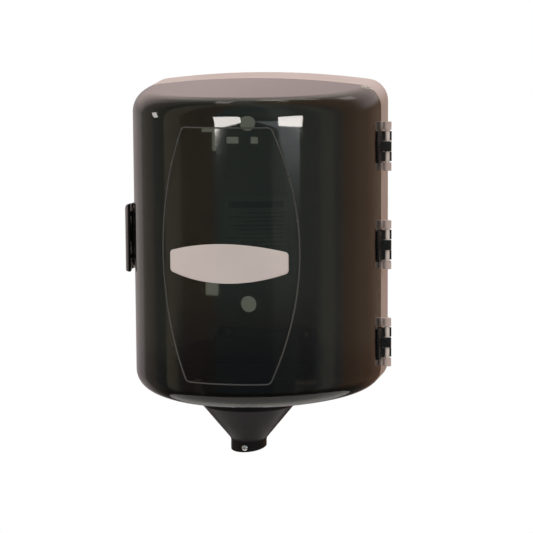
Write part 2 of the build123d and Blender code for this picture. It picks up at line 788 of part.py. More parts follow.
# Latch lever: convex grip, hub on the pin and an arm that runs back over the seam to its tooth
latch_low = latch_z - latch_height / 2
latch_high = latch_z + latch_height / 2
lever_inner_x = -side_x(latch_pin_y) - latch_base_thickness - lever_inner_gap
lever_bulge_x = -half_width - lever_bulge_out
lever_rear_x = -half_width - lever_rear_out
lever_front_x = -side_x(lever_front_y) - lever_front_out
lever_nose_x = -side_x(lever_front_y) - lever_nose_out
with BuildPart() as latch_lever:
    with BuildSketch(Plane.XY.offset(latch_low)):
        with BuildLine():
            ThreePointArc(
                (lever_rear_x, lever_rear_y),
                (lever_bulge_x, lever_bulge_y),
                (lever_front_x, lever_front_y),
            )
            Polyline(
                (lever_front_x, lever_front_y),
                (lever_nose_x, lever_front_y + lever_nose_taper),
                (lever_inner_x, lever_waist_y),
                (lever_inner_x, lever_rear_y),
                (lever_rear_x, lever_rear_y),
            )
        make_face()
    extrude(amount=latch_height)
    # Front view of the grip: bulged outward, rounded over at the top, cut short at the bottom
    shoulder = (lever_bulge_x + lever_top_draw, latch_high - lever_top_round)
    crown_x = lever_bulge_x + lever_top_draw + lever_top_round * (1 - cos(pi / 4))
    crown_z = latch_high - lever_top_round * (1 - sin(pi / 4))
    toe = (lever_bulge_x + lever_bottom_draw, latch_low)
    with BuildSketch(Plane.XZ.offset(-lever_rear_y - cut_margin)):
        with BuildLine():
            ThreePointArc(shoulder, (lever_bulge_x, latch_z), toe)
            brow = ThreePointArc(
                shoulder, (crown_x, crown_z), (shoulder[0] + lever_top_round, latch_high)
            )
            Polyline(toe, (0, latch_low), (0, latch_high), brow @ 1)
        make_face()
    extrude(amount=lever_rear_y - lever_front_y + 2 * cut_margin, mode=Mode.INTERSECT)
    # Pocket that clears the ears and the pin
    with BuildSketch(Plane.XY.offset(ear_bottoms[0] - cut_margin)):
        with Locations((pin_x, latch_pin_y)):
            Circle(ear_radius + pocket_clearance)
            Rectangle(
                latch_pin_out, 2 * (ear_radius + pocket_clearance), align=(Align.MIN, Align.CENTER)
            )
    extrude(amount=ear_spacing + 2 * ear_height + 2 * cut_margin, mode=Mode.SUBTRACT)
    # Hub between the ears, leaving room for the spring at its lower end
    hub_low = ear_bottoms[0] + ear_height + spring_room
    hub_high = ear_bottoms[1] - spring_clearance
    with BuildSketch(Plane.XY.offset(hub_low)):
        with Locations((pin_x, latch_pin_y)):
            Circle(hub_radius)
            Rectangle(
                pin_x - lever_bulge_x - lever_skin, 2 * hub_radius, align=(Align.MAX, Align.CENTER)
            )
    extrude(amount=hub_high - hub_low)
    # Hook arm and tooth
    arm_outer_x = -half_width - catch_barb_reach - catch_play - hook_arm_thickness
    tooth_x = -half_width - hook_tooth_gap
    with BuildSketch(Plane.XY.offset(latch_z - hook_height / 2)):
        with BuildLine():
            Polyline(
                (arm_outer_x, latch_pin_y - hook_root_overlap),
                (arm_outer_x + hook_arm_thickness, latch_pin_y + hook_root_overlap),
                (arm_outer_x + hook_arm_thickness, hook_end_y - hook_tooth_depth),
                (tooth_x, hook_end_y - hook_tooth_depth),
                (tooth_x, hook_end_y),
                (arm_outer_x, hook_end_y),
                close=True,
            )
        make_face()
    extrude(amount=hook_height)
    with BuildSketch(Plane.XY.offset(latch_low - cut_margin)):
        with Locations((pin_x, latch_pin_y)):
            Circle(latch_pin_radius + knuckle_clearance)
    extrude(amount=latch_height + 2 * cut_margin, mode=Mode.SUBTRACT)
latch_lever.part.label = "latch_lever"
export_step(latch_lever.part, "parts/latch_lever.step")

# Torsion spring round the pin, under the hub
spring_radius = latch_pin_radius + spring_wire_radius + spring_pin_gap
spring_low = ear_bottoms[0] + ear_height + spring_clearance + spring_wire_radius
spring_height = spring_room - 2 * spring_clearance - 2 * spring_wire_radius
with BuildPart() as latch_spring:
    with BuildLine():
        coil_start = (pin_x, latch_pin_y, spring_low)
        coil = Helix(spring_height / spring_turns, spring_height, spring_radius, center=coil_start)
    with BuildSketch(Plane(origin=coil @ 0, z_dir=coil % 0)):
        Circle(spring_wire_radius)
    sweep()
latch_spring.part.label = "latch_spring"
export_step(latch_spring.part, "parts/latch_spring.step")

# Spring catch on the housing's left flank, with a barb in front of the lever's tooth
barb_y = hook_end_y - hook_tooth_depth - catch_play
with BuildPart() as catch_spring:
    with BuildSketch(Plane.XY.offset(latch_z - catch_height / 2)):
        with BuildLine():
            Polyline(
                (-half_width, catch_rear_y),
                (-half_width - catch_thickness, catch_rear_y),
                (-half_width - catch_thickness, barb_y),
                (-half_width - catch_barb_reach, barb_y),
                (-half_width - catch_barb_reach, barb_y - barb_land),
                (-half_width - catch_thickness, barb_y - catch_ramp),
                (-half_width, barb_y - catch_ramp),
                close=True,
            )
        make_face()
    extrude(amount=catch_height)
    with BuildSketch(Plane.YZ.offset(-half_width - catch_thickness - cut_margin)):
        for offset_z in (-catch_screw_spacing / 2, catch_screw_spacing / 2):
            with Locations((catch_screw_y, latch_z + offset_z)):
                Circle(small_screw_radius + seat_clearance)
    extrude(amount=catch_thickness + 2 * cut_margin, mode=Mode.SUBTRACT)
catch_spring.part.label = "catch_spring"
export_step(catch_spring.part, "parts/catch_spring.step")

with BuildPart() as catch_screws:
    with BuildSketch(Plane.YZ.offset(-half_width - catch_thickness)):
        for offset_z in (-catch_screw_spacing / 2, catch_screw_spacing / 2):
            with Locations((catch_screw_y, latch_z + offset_z)):
                Circle(small_screw_radius)
    extrude(amount=catch_thickness + wall)
    with BuildSketch(Plane.YZ.offset(-half_width - catch_thickness)):
        for offset_z in (-catch_screw_spacing / 2, catch_screw_spacing / 2):
            with Locations((catch_screw_y, latch_z + offset_z)):
                Circle(small_head_radius)
    extrude(amount=-small_head_height)
catch_screws.part.label = "catch_screws"
export_step(catch_screws.part, "parts/catch_screws.step")
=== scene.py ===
# %% [markdown]
# Hand towel dispenser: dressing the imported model
#
# A wall dispenser for a centre-pull roll: pale housing, smoked cover, silver badge, black latch and
# clips, and a dark funnel below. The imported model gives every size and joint. This lesson remakes the
# pieces that carry the look as fine surfaces and gives each finish its own procedural material.

# %% Load the fixed frame
from math import atan2, cos, pi, radians, sin, sqrt

import bmesh
import bpy
import numpy as np
from mathutils import Matrix, Vector


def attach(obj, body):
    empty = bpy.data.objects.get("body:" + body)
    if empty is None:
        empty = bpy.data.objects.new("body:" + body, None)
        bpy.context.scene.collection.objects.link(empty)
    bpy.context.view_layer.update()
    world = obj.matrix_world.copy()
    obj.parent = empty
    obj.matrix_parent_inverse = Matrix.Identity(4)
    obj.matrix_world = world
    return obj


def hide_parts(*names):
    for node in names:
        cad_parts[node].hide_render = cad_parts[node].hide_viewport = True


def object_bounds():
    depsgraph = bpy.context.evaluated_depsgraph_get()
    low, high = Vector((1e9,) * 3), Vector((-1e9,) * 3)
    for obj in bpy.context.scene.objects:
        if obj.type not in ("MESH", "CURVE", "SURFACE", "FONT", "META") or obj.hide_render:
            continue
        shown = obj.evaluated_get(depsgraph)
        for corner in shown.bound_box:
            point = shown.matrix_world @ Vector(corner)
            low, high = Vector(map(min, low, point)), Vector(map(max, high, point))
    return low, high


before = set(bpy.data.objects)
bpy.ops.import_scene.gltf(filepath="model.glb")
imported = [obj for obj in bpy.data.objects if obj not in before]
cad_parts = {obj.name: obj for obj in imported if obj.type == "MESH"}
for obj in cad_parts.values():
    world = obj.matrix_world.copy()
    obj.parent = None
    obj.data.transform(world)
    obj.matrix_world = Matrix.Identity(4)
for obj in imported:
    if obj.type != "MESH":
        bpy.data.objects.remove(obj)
cad_low, cad_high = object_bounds()
mm = 0.001
print("CAD box in mm:", [round(v / mm, 1) for v in (*cad_low, *cad_high)])

# %% [markdown]
# The form of the body
#
# Housing and cover share one outer form. Seen from above, its front is three arcs that meet without a
# kink: a flank, the nose and the other flank. The roof is part of a wide cylinder that falls to the
# front, and rolling-ball fillets join roof and base to the walls. A surface offset inwards keeps the
# same arc centres, so one formula with an inset gives the outside and the inside of every shell.

# %% Sizes of the body's form, in millimetres
half_width = 114.0
body_depth = 170.0
seam_depth = 38.0
seam_gap = 0.4
body_top = 145.0
body_bottom = -143.0
top_fall = 0.105
crown_radius = 795.0
top_round = 20.0
bottom_round = 18.0
wall = 3.0
roll_y = -86.0
mouth_radius = 50.0
mouth_right_flare = 4.0
mouth_left_flare = 14.0
mouth_leg_share = 0.2
nose_radius = 0.86 * half_width
nose_y = nose_radius - body_depth
nose_rise = -seam_depth - nose_y
flank_radius = (half_width**2 + nose_rise**2 - nose_radius**2) / (2 * (half_width - nose_radius))
flank_x = half_width - flank_radius
joint_angle = atan2(nose_rise, -flank_x)
roof_up = np.array([0.0, -top_fall, 1.0]) / sqrt(1 + top_fall**2)
roof_axis_point = np.array([0.0, 0.0, body_top]) - crown_radius * roof_up
print("flank arcs of", round(flank_radius, 1), "mm and a nose arc of", round(nose_radius, 1), "mm")


# %% Plan, roof and the cover's surface as formulas
def plan_point(angle, inset):
    """Plan of the front: arc centre plus (arc radius - inset) times (cos, -sin) of the normal's angle."""
    on_right = angle < joint_angle
    on_left = angle > pi - joint_angle
    centre_x = np.where(on_right, flank_x, np.where(on_left, -flank_x, 0.0))
    on_flank = on_right | on_left
    centre_y = np.where(on_flank, -seam_depth, nose_y)
    radius = np.where(on_flank, flank_radius, nose_radius) - inset
    return centre_x + radius * np.cos(angle), centre_y - radius * np.sin(angle)


def roof_height(x, y, inset):
    """Height of the sloped cylinder over (x, y): the point at (radius - inset) from its axis."""
    rise = np.sqrt((crown_radius - inset) ** 2 - x**2)
    along = roof_up[1] * (y - roof_axis_point[1])
    return roof_axis_point[2] + (rise - along) / roof_up[2]


def front_depth(x, outward):
    """Depth y of the front wall at width x, moved outward along the wall's normal."""
    reach = nose_radius + outward
    return nose_y - np.sqrt(reach**2 - x**2)


def mouth_point(angle):
    """Mouth in the base: a leg from the seam, half a circle round the roll axis and a leg back."""
    share = (angle - angle.min()) / (angle.max() - angle.min())
    right_leg = np.clip(1 - share / mouth_leg_share, 0, 1)
    left_leg = np.clip((share - 1 + mouth_leg_share) / mouth_leg_share, 0, 1)
    turn = np.clip((share - mouth_leg_share) / (1 - 2 * mouth_leg_share), 0, 1) * pi
    leg = right_leg + left_leg
    x = mouth_radius * np.cos(turn) + right_leg * mouth_right_flare - left_leg * mouth_left_flare
    y = roll_y - mouth_radius * np.sin(turn) - leg * (seam_depth + seam_gap + roll_y)
    return x, y


def cover_skin(angles, inset):
    """Grid of the cover's surface: base plate, lower fillet, wall, upper fillet, then roof to the seam."""
    up = np.zeros((len(angles), 1))
    angle = angles[:, None]
    normal = np.stack([np.cos(angle) + up, -np.sin(angle) + up, up + up], axis=-1)
    # The base plate runs from the mouth to the plan drawn in by the lower radius
    low_x, low_y = plan_point(angle, bottom_round)
    mouth_x, mouth_y = mouth_point(angle)
    out = np.linspace(0, 1, 7)[None, :-1]
    strip_x = mouth_x * (1 - out) + low_x * out
    strip_y = mouth_y * (1 - out) + low_y * out
    strip_grid = np.stack([strip_x, strip_y, np.full_like(strip_x, body_bottom + inset)], axis=-1)
    low_turn = np.linspace(0, pi / 2, 15)[None, :]
    low_reach = (bottom_round - inset) * np.sin(low_turn)
    low_z = body_bottom + bottom_round - (bottom_round - inset) * np.cos(low_turn)
    low_grid = np.stack(
        [low_x + np.cos(angle) * low_reach, low_y - np.sin(angle) * low_reach, low_z + up], axis=-1
    )
    # Upper fillet: centre plus radius times the even turn from wall normal to roof normal
    top_x, top_y = plan_point(angle, top_round)
    top_z = roof_height(top_x, top_y, top_round)
    centre = np.stack([top_x, top_y, top_z], axis=-1)
    roof_lean = top_x / (crown_radius - top_round)
    roof_normal = np.sqrt(1 - roof_lean**2)[..., None] * roof_up
    roof_normal[..., 0] = roof_lean
    spread = np.arccos(np.sum(normal * roof_normal, axis=-1))[..., None]
    turn = np.linspace(0, 1, 17)[None, :, None]
    arc = (np.sin((1 - turn) * spread) * normal + np.sin(turn * spread) * roof_normal) / np.sin(spread)
    top_grid = centre + (top_round - inset) * arc
    # Wall between the fillets, then roof lines of constant x back to the seam
    lift = np.linspace(0, 1, 40)[None, 1:-1, None]
    wall_grid = low_grid[:, -1:] * (1 - lift) + top_grid[:, :1] * lift
    back = np.linspace(0, 1, 30)[None, 1:]
    roof_x = top_grid[:, -1:, 0] + 0 * back
    roof_y = top_grid[:, -1:, 1] * (1 - back) - (seam_depth + seam_gap) * back
    roof_grid = np.stack([roof_x, roof_y, roof_height(roof_x, roof_y, inset)], axis=-1)
    skin = np.concatenate([strip_grid, low_grid, wall_grid, top_grid, roof_grid], axis=1)
    skin[..., 1] = np.minimum(skin[..., 1], -seam_depth - seam_gap)
    return skin


# %% [markdown]
# From arrays to pieces
#
# Every new piece is a grid of points or several grids. The helper below welds coincident points, turns
# the faces outwards, keeps real edges sharp and everything else smooth. It then ties the piece to its
# body, gives it its material and hides the CAD nodes it stands for, so nothing is left hanging.


# %% Helpers that build, weld and register a piece
def quads(rows, columns, start=0, wrap_rows=False, wrap_columns=False):
    """Corner indices of a grid's cells: each cell joins a point, its neighbours and the diagonal one."""
    index = start + np.arange(rows * columns).reshape(rows, columns)
    if wrap_rows:
        index = np.vstack([index, index[:1]])
    if wrap_columns:
        index = np.hstack([index, index[:, :1]])
    corners = (index[:-1, :-1], index[1:, :-1], index[1:, 1:], index[:-1, 1:])
    return np.stack(corners, axis=-1).reshape(-1, 4)


def gather(*grids, wrap_rows=False, wrap_columns=False):
    """Several (rows, columns, 3) grids as one list of points and one list of faces."""
    points, faces, start = [], [], 0
    for grid in grids:
        rows, columns = grid.shape[:2]
        points.append(grid.reshape(-1, 3))
        faces.append(quads(rows, columns, start, wrap_rows, wrap_columns))
        start += rows * columns
    return np.vstack(points), np.vstack(faces)


def shell(outer, inner):
    """Closed wall: the outer grid, the inner grid and four rims between their edges."""
    rims = [
        np.stack([outer[0], inner[0]]),
        np.stack([outer[-1], inner[-1]]),
        np.stack([outer[:, 0], inner[:, 0]]),
        np.stack([outer[:, -1], inner[:, -1]]),
    ]
    return gather(outer, inner, *rims)


def merge(*shapes):
    """Several (points, faces) pairs as one pair."""
    points = np.vstack([shape[0] for shape in shapes])
    starts = np.cumsum([0] + [len(shape[0]) for shape in shapes[:-1]])
    faces = np.vstack([shape[1] + start for shape, start in zip(shapes, starts)])
    return points, faces


weld_distance = 0.002 * mm
cad_weld_distance = 0.001 * mm


def weld(mesh):
    """Join coincident points, drop empty faces and turn the rest outwards."""
    work = bmesh.new()
    work.from_mesh(mesh)
    bmesh.ops.remove_doubles(work, verts=work.verts, dist=weld_distance)
    bmesh.ops.dissolve_degenerate(work, edges=work.edges, dist=weld_distance / 2)
    bmesh.ops.recalc_face_normals(work, faces=work.faces)
    work.to_mesh(mesh)
    work.free()


def register(thing, body, slot, material, *nodes):
    """Give a finished piece its material, tie it to its body and hide the CAD nodes that it stands for. The
    slot is not used.
    """
    thing.data.materials.clear()
    thing.data.materials.append(material)
    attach(thing, body)
    if nodes:
        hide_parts(*nodes)
    print(thing.name, "has", len(thing.data.polygons), "faces on", body)


def make_piece(name, shape, body, slot, material, *nodes, crease=35):
    """A mesh object from points in millimetres, at the origin, smooth up to the crease angle."""
    points, faces = shape
    mesh = bpy.data.meshes.new(name)
    mesh.from_pydata((points * mm).tolist(), [], faces.tolist())
    weld(mesh)
    mesh.shade_smooth()
    mesh.set_sharp_from_angle(angle=radians(crease))
    thing = bpy.data.objects.new(name, mesh)
    bpy.context.collection.objects.link(thing)
    register(thing, body, slot, material, *nodes)
    return thing


def soften(node, body, slot, material, width, steps=2):
    """A welded copy of a CAD node whose sharp edges get a small round, as a mould leaves them."""
    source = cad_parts[node]
    mesh = source.data.copy()
    work = bmesh.new()
    work.from_mesh(mesh)
    bmesh.ops.remove_doubles(work, verts=work.verts, dist=cad_weld_distance)
    bmesh.ops.dissolve_limit(work, angle_limit=radians(1), verts=work.verts, edges=work.edges)
    work.to_mesh(mesh)
    work.free()
    mesh.shade_smooth()
    thing = bpy.data.objects.new(node + "_finished", mesh)
    bpy.context.collection.objects.link(thing)
    bevel = thing.modifiers.new("moulded_edge", "BEVEL")
    bevel.width = width * mm
    bevel.segments = steps
    bevel.limit_method = "ANGLE"
    bevel.angle_limit = radians(30)
    bevel.harden_normals = True
    register(thing, body, slot, material, node)


# %% [markdown]
# Shared surface effects
#
# Moulded plastic, brushed metal and film all need fine grain, slow tone changes and handling marks. Each
# effect is a node group with named sockets, built once. A group gives out only a colour, a mask or a
# height, and the shader stays in the material, so a baker can read everything.


# %% Node group helpers
def new_group(name, inputs, outputs):
    """Empty shader group with the named inputs (with defaults) and outputs."""
    group = bpy.data.node_groups.new(name, "ShaderNodeTree")
    for label, kind, value in inputs:
        socket = group.interface.new_socket(name=label, in_out="INPUT", socket_type=kind)
        if value is not None:
            socket.default_value = value
    for label, kind in outputs:
        group.interface.new_socket(name=label, in_out="OUTPUT", socket_type=kind)
    return group, group.nodes.new("NodeGroupInput"), group.nodes.new("NodeGroupOutput")


def ranged(tree, source, low, high, to_low=0.0, to_high=1.0):
    """Map Range node that eases a value from one span to another."""
    node = tree.nodes.new("ShaderNodeMapRange")
    node.interpolation_type = "SMOOTHSTEP"
    tree.links.new(source, node.inputs["Value"])
    for label, value in (
        ("From Min", low),
        ("From Max", high),
        ("To Min", to_low),
        ("To Max", to_high),
    ):
        if isinstance(value, (int, float)):
            node.inputs[label].default_value = value
        else:
            tree.links.new(value, node.inputs[label])
    return node.outputs["Result"]


def noise(tree, vector, scale, detail=4.0, roughness=0.55):
    """Noise texture on a vector, its scale a number or a socket."""
    node = tree.nodes.new("ShaderNodeTexNoise")
    node.inputs["Detail"].default_value = detail
    node.inputs["Roughness"].default_value = roughness
    tree.links.new(vector, node.inputs["Vector"])
    if isinstance(scale, (int, float)):
        node.inputs["Scale"].default_value = scale
    else:
        tree.links.new(scale, node.inputs["Scale"])
    return node.outputs["Fac"]


def blended(tree, factor, first, second):
    """Mix two colours, each a socket or a colour, by a factor socket or number."""
    node = tree.nodes.new("ShaderNodeMix")
    node.data_type = "RGBA"
    for label, value in ((0, factor), (6, first), (7, second)):
        if isinstance(value, (int, float)):
            node.inputs[label].default_value = value
        elif isinstance(value, tuple):
            node.inputs[label].default_value = (*value, 1.0)
        else:
            tree.links.new(value, node.inputs[label])
    return node.outputs[2]


# %% The three shared effects: slow tone drift, handling marks and fine grain
tone_drift, drift_in, drift_out = new_group(
    "tone_drift",
    [
        ("Vector", "NodeSocketVector", None),
        ("Scale", "NodeSocketFloat", 14.0),
        ("Main Tone", "NodeSocketColor", None),
        ("Second Tone", "NodeSocketColor", None),
    ],
    [("Color", "NodeSocketColor")],
)
drift_noise = noise(tone_drift, drift_in.outputs["Vector"], drift_in.outputs["Scale"], 5.0)
drift_mask = ranged(tone_drift, drift_noise, 0.35, 0.7)
drift_color = blended(
    tone_drift, drift_mask, drift_in.outputs["Main Tone"], drift_in.outputs["Second Tone"]
)
tone_drift.links.new(drift_color, drift_out.inputs["Color"])

handling_marks, marks_in, marks_out = new_group(
    "handling_marks",
    [
        ("Vector", "NodeSocketVector", None),
        ("Scale", "NodeSocketFloat", 30.0),
        ("Clean", "NodeSocketFloat", 0.2),
        ("Rubbed", "NodeSocketFloat", 0.35),
    ],
    [("Roughness", "NodeSocketFloat"), ("Mask", "NodeSocketFloat")],
)
marks_noise = noise(handling_marks, marks_in.outputs["Vector"], marks_in.outputs["Scale"], 8.0, 0.62)
marks_mask = ranged(handling_marks, marks_noise, 0.4, 0.68)
marks_rough = ranged(
    handling_marks, marks_noise, 0.4, 0.68, marks_in.outputs["Clean"], marks_in.outputs["Rubbed"]
)
handling_marks.links.new(marks_rough, marks_out.inputs["Roughness"])
handling_marks.links.new(marks_mask, marks_out.inputs["Mask"])

fine_grain, grain_in, grain_out = new_group(
    "fine_grain",
    [("Vector", "NodeSocketVector", None), ("Scale", "NodeSocketFloat", 900.0)],
    [("Height", "NodeSocketFloat")],
)
grain_noise = noise(fine_grain, grain_in.outputs["Vector"], grain_in.outputs["Scale"], 2.0, 0.5)
fine_grain.links.new(grain_noise, grain_out.inputs["Height"])
print("shared effects:", [g.name for g in (tone_drift, handling_marks, fine_grain)])


# %% [markdown]
# Plain moulded and metal finishes
#
# Most pieces are one recipe with other values: a tone that drifts a little, a gloss that changes where
# hands rub, and a grain height for the mould's texture. Rounded edges come from a Bevel node where the
# CAD mesh itself stays on show, because a real moulding has no knife edge.


# %% One recipe for moulded and metal finishes
def place_group(tree, group, vector, **values):
    """A group node reading the given vector, with its other inputs set by name."""
    node = tree.nodes.new("ShaderNodeGroup")
    node.node_tree = group
    tree.links.new(vector, node.inputs["Vector"])
    for label, value in values.items():
        socket = node.inputs[label.replace("_", " ")]
        socket.default_value = (*value, 1.0) if isinstance(value, tuple) else value
    return node


def start_material(name):
    """New material with its node tree, its shader and the object coordinates its patterns read."""
    material = bpy.data.materials.new(name)
    material.use_nodes = True
    tree = material.node_tree
    shader = tree.nodes["Principled BSDF"]
    coordinates = tree.nodes.new("ShaderNodeTexCoord")
    return material, tree, shader, coordinates.outputs["Object"]


def tone_and_gloss(tree, shader, vector, main, second, clean, rubbed, tone_scale=14.0, rub_scale=32.0):
    """Colour that drifts between two tones, and roughness that runs from clean to rubbed."""
    drift = place_group(tree, tone_drift, vector, Scale=tone_scale, Main_Tone=main, Second_Tone=second)
    marks = place_group(tree, handling_marks, vector, Scale=rub_scale, Clean=clean, Rubbed=rubbed)
    tree.links.new(drift.outputs["Color"], shader.inputs["Base Color"])
    tree.links.new(marks.outputs["Roughness"], shader.inputs["Roughness"])


def add_relief(tree, shader, height, depth, edge_round=0.0):
    """Bump from a height in metres, on top of edges rounded by a Bevel node."""
    bump = tree.nodes.new("ShaderNodeBump")
    bump.inputs["Strength"].default_value = 1.0
    bump.inputs["Distance"].default_value = depth
    tree.links.new(height, bump.inputs["Height"])
    if edge_round > 0:
        rounded = tree.nodes.new("ShaderNodeBevel")
        rounded.inputs["Radius"].default_value = edge_round * mm
        tree.links.new(rounded.outputs["Normal"], bump.inputs["Normal"])
    tree.links.new(bump.outputs["Normal"], shader.inputs["Normal"])


def finish_of(
    name,
    main,
    second,
    clean,
    rubbed,
    grain_depth=0.02,
    grain_scale=900.0,
    metallic=0.0,
    edge_round=0.0,
    coat=0.0,
    shine=0.5,
):
    """Opaque finish: drifting tone, roughness from clean to rubbed, grain depth in millimetres."""
    material, tree, shader, vector = start_material(name)
    tone_and_gloss(tree, shader, vector, main, second, clean, rubbed)
    grain = place_group(tree, fine_grain, vector, Scale=grain_scale)
    shader.inputs["Metallic"].default_value = metallic
    shader.inputs["Coat Weight"].default_value = coat
    shader.inputs["Specular IOR Level"].default_value = shine
    shader.inputs["Coat Roughness"].default_value = 0.08
    add_relief(tree, shader, grain.outputs["Height"], grain_depth * mm, edge_round)
    return material


housing_finish = finish_of(
    "warm_grey_housing", (0.60, 0.50, 0.46), (0.54, 0.44, 0.40), 0.36, 0.5, 0.012, edge_round=0.5
)
rod_finish = finish_of("pale_rod", (0.80, 0.73, 0.68), (0.74, 0.67, 0.62), 0.28, 0.4, 0.006)
tray_finish = finish_of(
    "dark_tray", (0.035, 0.034, 0.036), (0.05, 0.047, 0.046), 0.35, 0.55, 0.02, edge_round=0.4
)
funnel_finish = finish_of(
    "satin_funnel", (0.008, 0.0065, 0.007), (0.012, 0.010, 0.0105), 0.3, 0.44, 0.010, 1300.0, shine=0.18
)
insert_finish = finish_of("insert_ring", (0.03, 0.028, 0.028), (0.045, 0.04, 0.04), 0.3, 0.45)
zinc_finish = finish_of(
    "zinc_screw", (0.60, 0.60, 0.58), (0.50, 0.49, 0.46), 0.22, 0.4, 0.004, 1500.0, 1.0
)
bright_finish = finish_of(
    "bright_screw", (0.86, 0.85, 0.83), (0.74, 0.73, 0.70), 0.14, 0.26, 0.003, 1500.0, 1.0
)
spring_finish = finish_of(
    "spring_leaf", (0.56, 0.56, 0.57), (0.44, 0.44, 0.46), 0.24, 0.42, 0.004, 1500.0, 1.0
)
black_tones = ((0.010, 0.010, 0.010), (0.017, 0.016, 0.015))
clip_finish = finish_of("black_clip", *black_tones, 0.3, 0.46, 0.008, shine=0.25)
foam_finish = finish_of("grey_foam_pad", (0.16, 0.16, 0.16), (0.24, 0.24, 0.23), 0.85, 0.95, 0.08, 700.0)
latch_base_finish = finish_of("latch_base_black", (0.018, 0.018, 0.018), (0.028, 0.026, 0.025), 0.3, 0.44)
latch_finish = finish_of("gloss_latch_black", *black_tones, 0.14, 0.26, 0.004, coat=0.3)
print("plain finishes:", len(bpy.data.materials))

# %% [markdown]
# Smoked cover plastic
#
# The cover is a see-through moulding, so dark that only light from behind comes through. A shader with
# full transmission and a dark green-grey tint does that, and what the eye sees first is the gloss of
# its outer face. Faint handling marks in the roughness keep the reflections from looking like glass.

# %% The smoke material
smoke_tint = (0.081, 0.086, 0.066)
smoke_second = (0.072, 0.077, 0.059)
smoke_clean, smoke_rubbed = 0.035, 0.075
ripple_depth = 0.03 * mm
smoke_finish, smoke_tree, smoke_shader, smoke_vector = start_material("smoked_cover")
smoke_look = (smoke_tint, smoke_second, smoke_clean, smoke_rubbed)
tone_and_gloss(smoke_tree, smoke_shader, smoke_vector, *smoke_look, tone_scale=9.0, rub_scale=24.0)
smoke_ripple = place_group(smoke_tree, fine_grain, smoke_vector, Scale=45.0)
smoke_shader.inputs["Transmission Weight"].default_value = 1.0
smoke_shader.inputs["IOR"].default_value = 1.5
add_relief(smoke_tree, smoke_shader, smoke_ripple.outputs["Height"], ripple_depth)
print("smoke lets through about", smoke_tint, "of the light")

# %% [markdown]
# The cover
#
# A real cover is one injection moulding of even wall. Two grids of the same formula, one on the outer
# face and one drawn in by the wall, are joined by rims at the seam and round the mouth in the base. This
# keeps the wall even, which matters because light bends twice in it.

# %% Build the cover's shell
first_angle = seam_gap / flank_radius
flank_angles = np.linspace(first_angle, joint_angle, 34)[:-1]
nose_angles = np.linspace(joint_angle, pi - joint_angle, 90)
cover_angles = np.concatenate([flank_angles, nose_angles, pi - flank_angles[::-1]])
cover_outer = cover_skin(cover_angles, 0.0)
cover_inner = cover_skin(cover_angles, wall)
cover_shell = shell(cover_outer, cover_inner)
cover_piece = make_piece(
    "smoked_front_cover", cover_shell, "cover", "smoke_plastic", smoke_finish, "front_cover"
)

# %% [markdown]
# The raised line of the panel
#
# A thin bead runs round the front panel. It is a half-round section carried along a closed path: the
# path is four sides with rounded corners in the front view, and each point is laid on the nose arc. Its
# opaque pale grey is a painted highlight: the real line is smoked plastic, pale only where its edge
# catches the light.

# %% Panel line as a half-round bead
panel_top = 103.8
panel_bottom = -119.3
panel_middle = -7.7
panel_top_half = 39.1
panel_middle_half = 61.2
panel_bottom_half = 37.6
panel_corner = 3.0
bead_half_width = 0.65
bead_height = 0.7
bead_sink = 0.3


def side_curve(height):
    """Half width of the panel at a height: the circle through its top, middle and bottom half widths."""
    top = np.array([panel_top_half, panel_top])
    middle = np.array([panel_middle_half, panel_middle])
    bottom = np.array([panel_bottom_half, panel_bottom])
    system = 2 * np.array([middle - top, bottom - top])
    side = np.array([middle @ middle - top @ top, bottom @ bottom - top @ top])
    centre = np.linalg.solve(system, side)
    radius = np.linalg.norm(top - centre)
    return centre[0] + np.sqrt(radius**2 - (height - centre[1]) ** 2)


def panel_path():
    """Outline of the panel in the front view, once round, as (x, z) points."""
    heights = np.linspace(panel_top - panel_corner, panel_bottom + panel_corner, 90)
    right = np.stack([side_curve(heights), heights], axis=1)
    top_corner = np.array([[panel_top_half, panel_top]])
    bottom_corner = np.array([[panel_bottom_half, panel_bottom]])
    share = np.linspace(0, 1, 9)[1:-1, None]
    top_start = np.array([[panel_top_half - panel_corner, panel_top]])
    low_end = np.array([[panel_bottom_half - panel_corner, panel_bottom]])
    top_turn = (1 - share) ** 2 * top_start + 2 * share * (1 - share) * top_corner + share**2 * right[:1]
    low_turn = (
        (1 - share) ** 2 * right[-1:] + 2 * share * (1 - share) * bottom_corner + share**2 * low_end
    )
    cross = np.linspace(-1, 1, 40)[1:-1, None]
    top_run = np.hstack([cross * top_start[0, 0], np.full_like(cross, panel_top)])
    low_run = np.hstack([-cross * low_end[0, 0], np.full_like(cross, panel_bottom)])
    half = np.vstack([top_start, top_turn, right, low_turn, low_end])
    mirrored = half[::-1] * [-1, 1]
    return np.vstack([half, low_run, mirrored, top_run])


def bead_grid(path, half, height):
    """Half-round section along a closed path on the front wall: across the path, and out from the wall."""
    along = np.roll(path, -1, axis=0) - np.roll(path, 1, axis=0)
    along /= np.linalg.norm(along, axis=1, keepdims=True)
    across = np.stack([along[:, 1], -along[:, 0]], axis=1)
    turn = np.linspace(0, 2 * pi, 13)[None, :-1]
    flat = path[:, None] + half * np.cos(turn)[..., None] * across[:, None]
    lift = np.where(np.sin(turn) > 0, height, bead_sink) * np.sin(turn) + 0 * flat[..., 0]
    base_y = front_depth(flat[..., 0], 0.0)
    lean = flat[..., 0] / nose_radius
    x = flat[..., 0] + lift * lean
    y = base_y - lift * np.sqrt(1 - lean**2)
    return np.stack([x, y, flat[..., 1]], axis=-1)


bead_shape = gather(bead_grid(panel_path(), bead_half_width, bead_height), wrap_rows=True, wrap_columns=True)
# Opaque pale grey for the bead: painted highlight of the smoked edge, not a colour of its own
panel_line_painted_highlight_finish = finish_of("panel_line_painted_highlight", (0.075, 0.073, 0.068), (0.055, 0.054, 0.05), 0.2, 0.3, 0.004)
make_piece("panel_raised_line", bead_shape, "cover", "smoke_plastic", panel_line_painted_highlight_finish, crease=80)

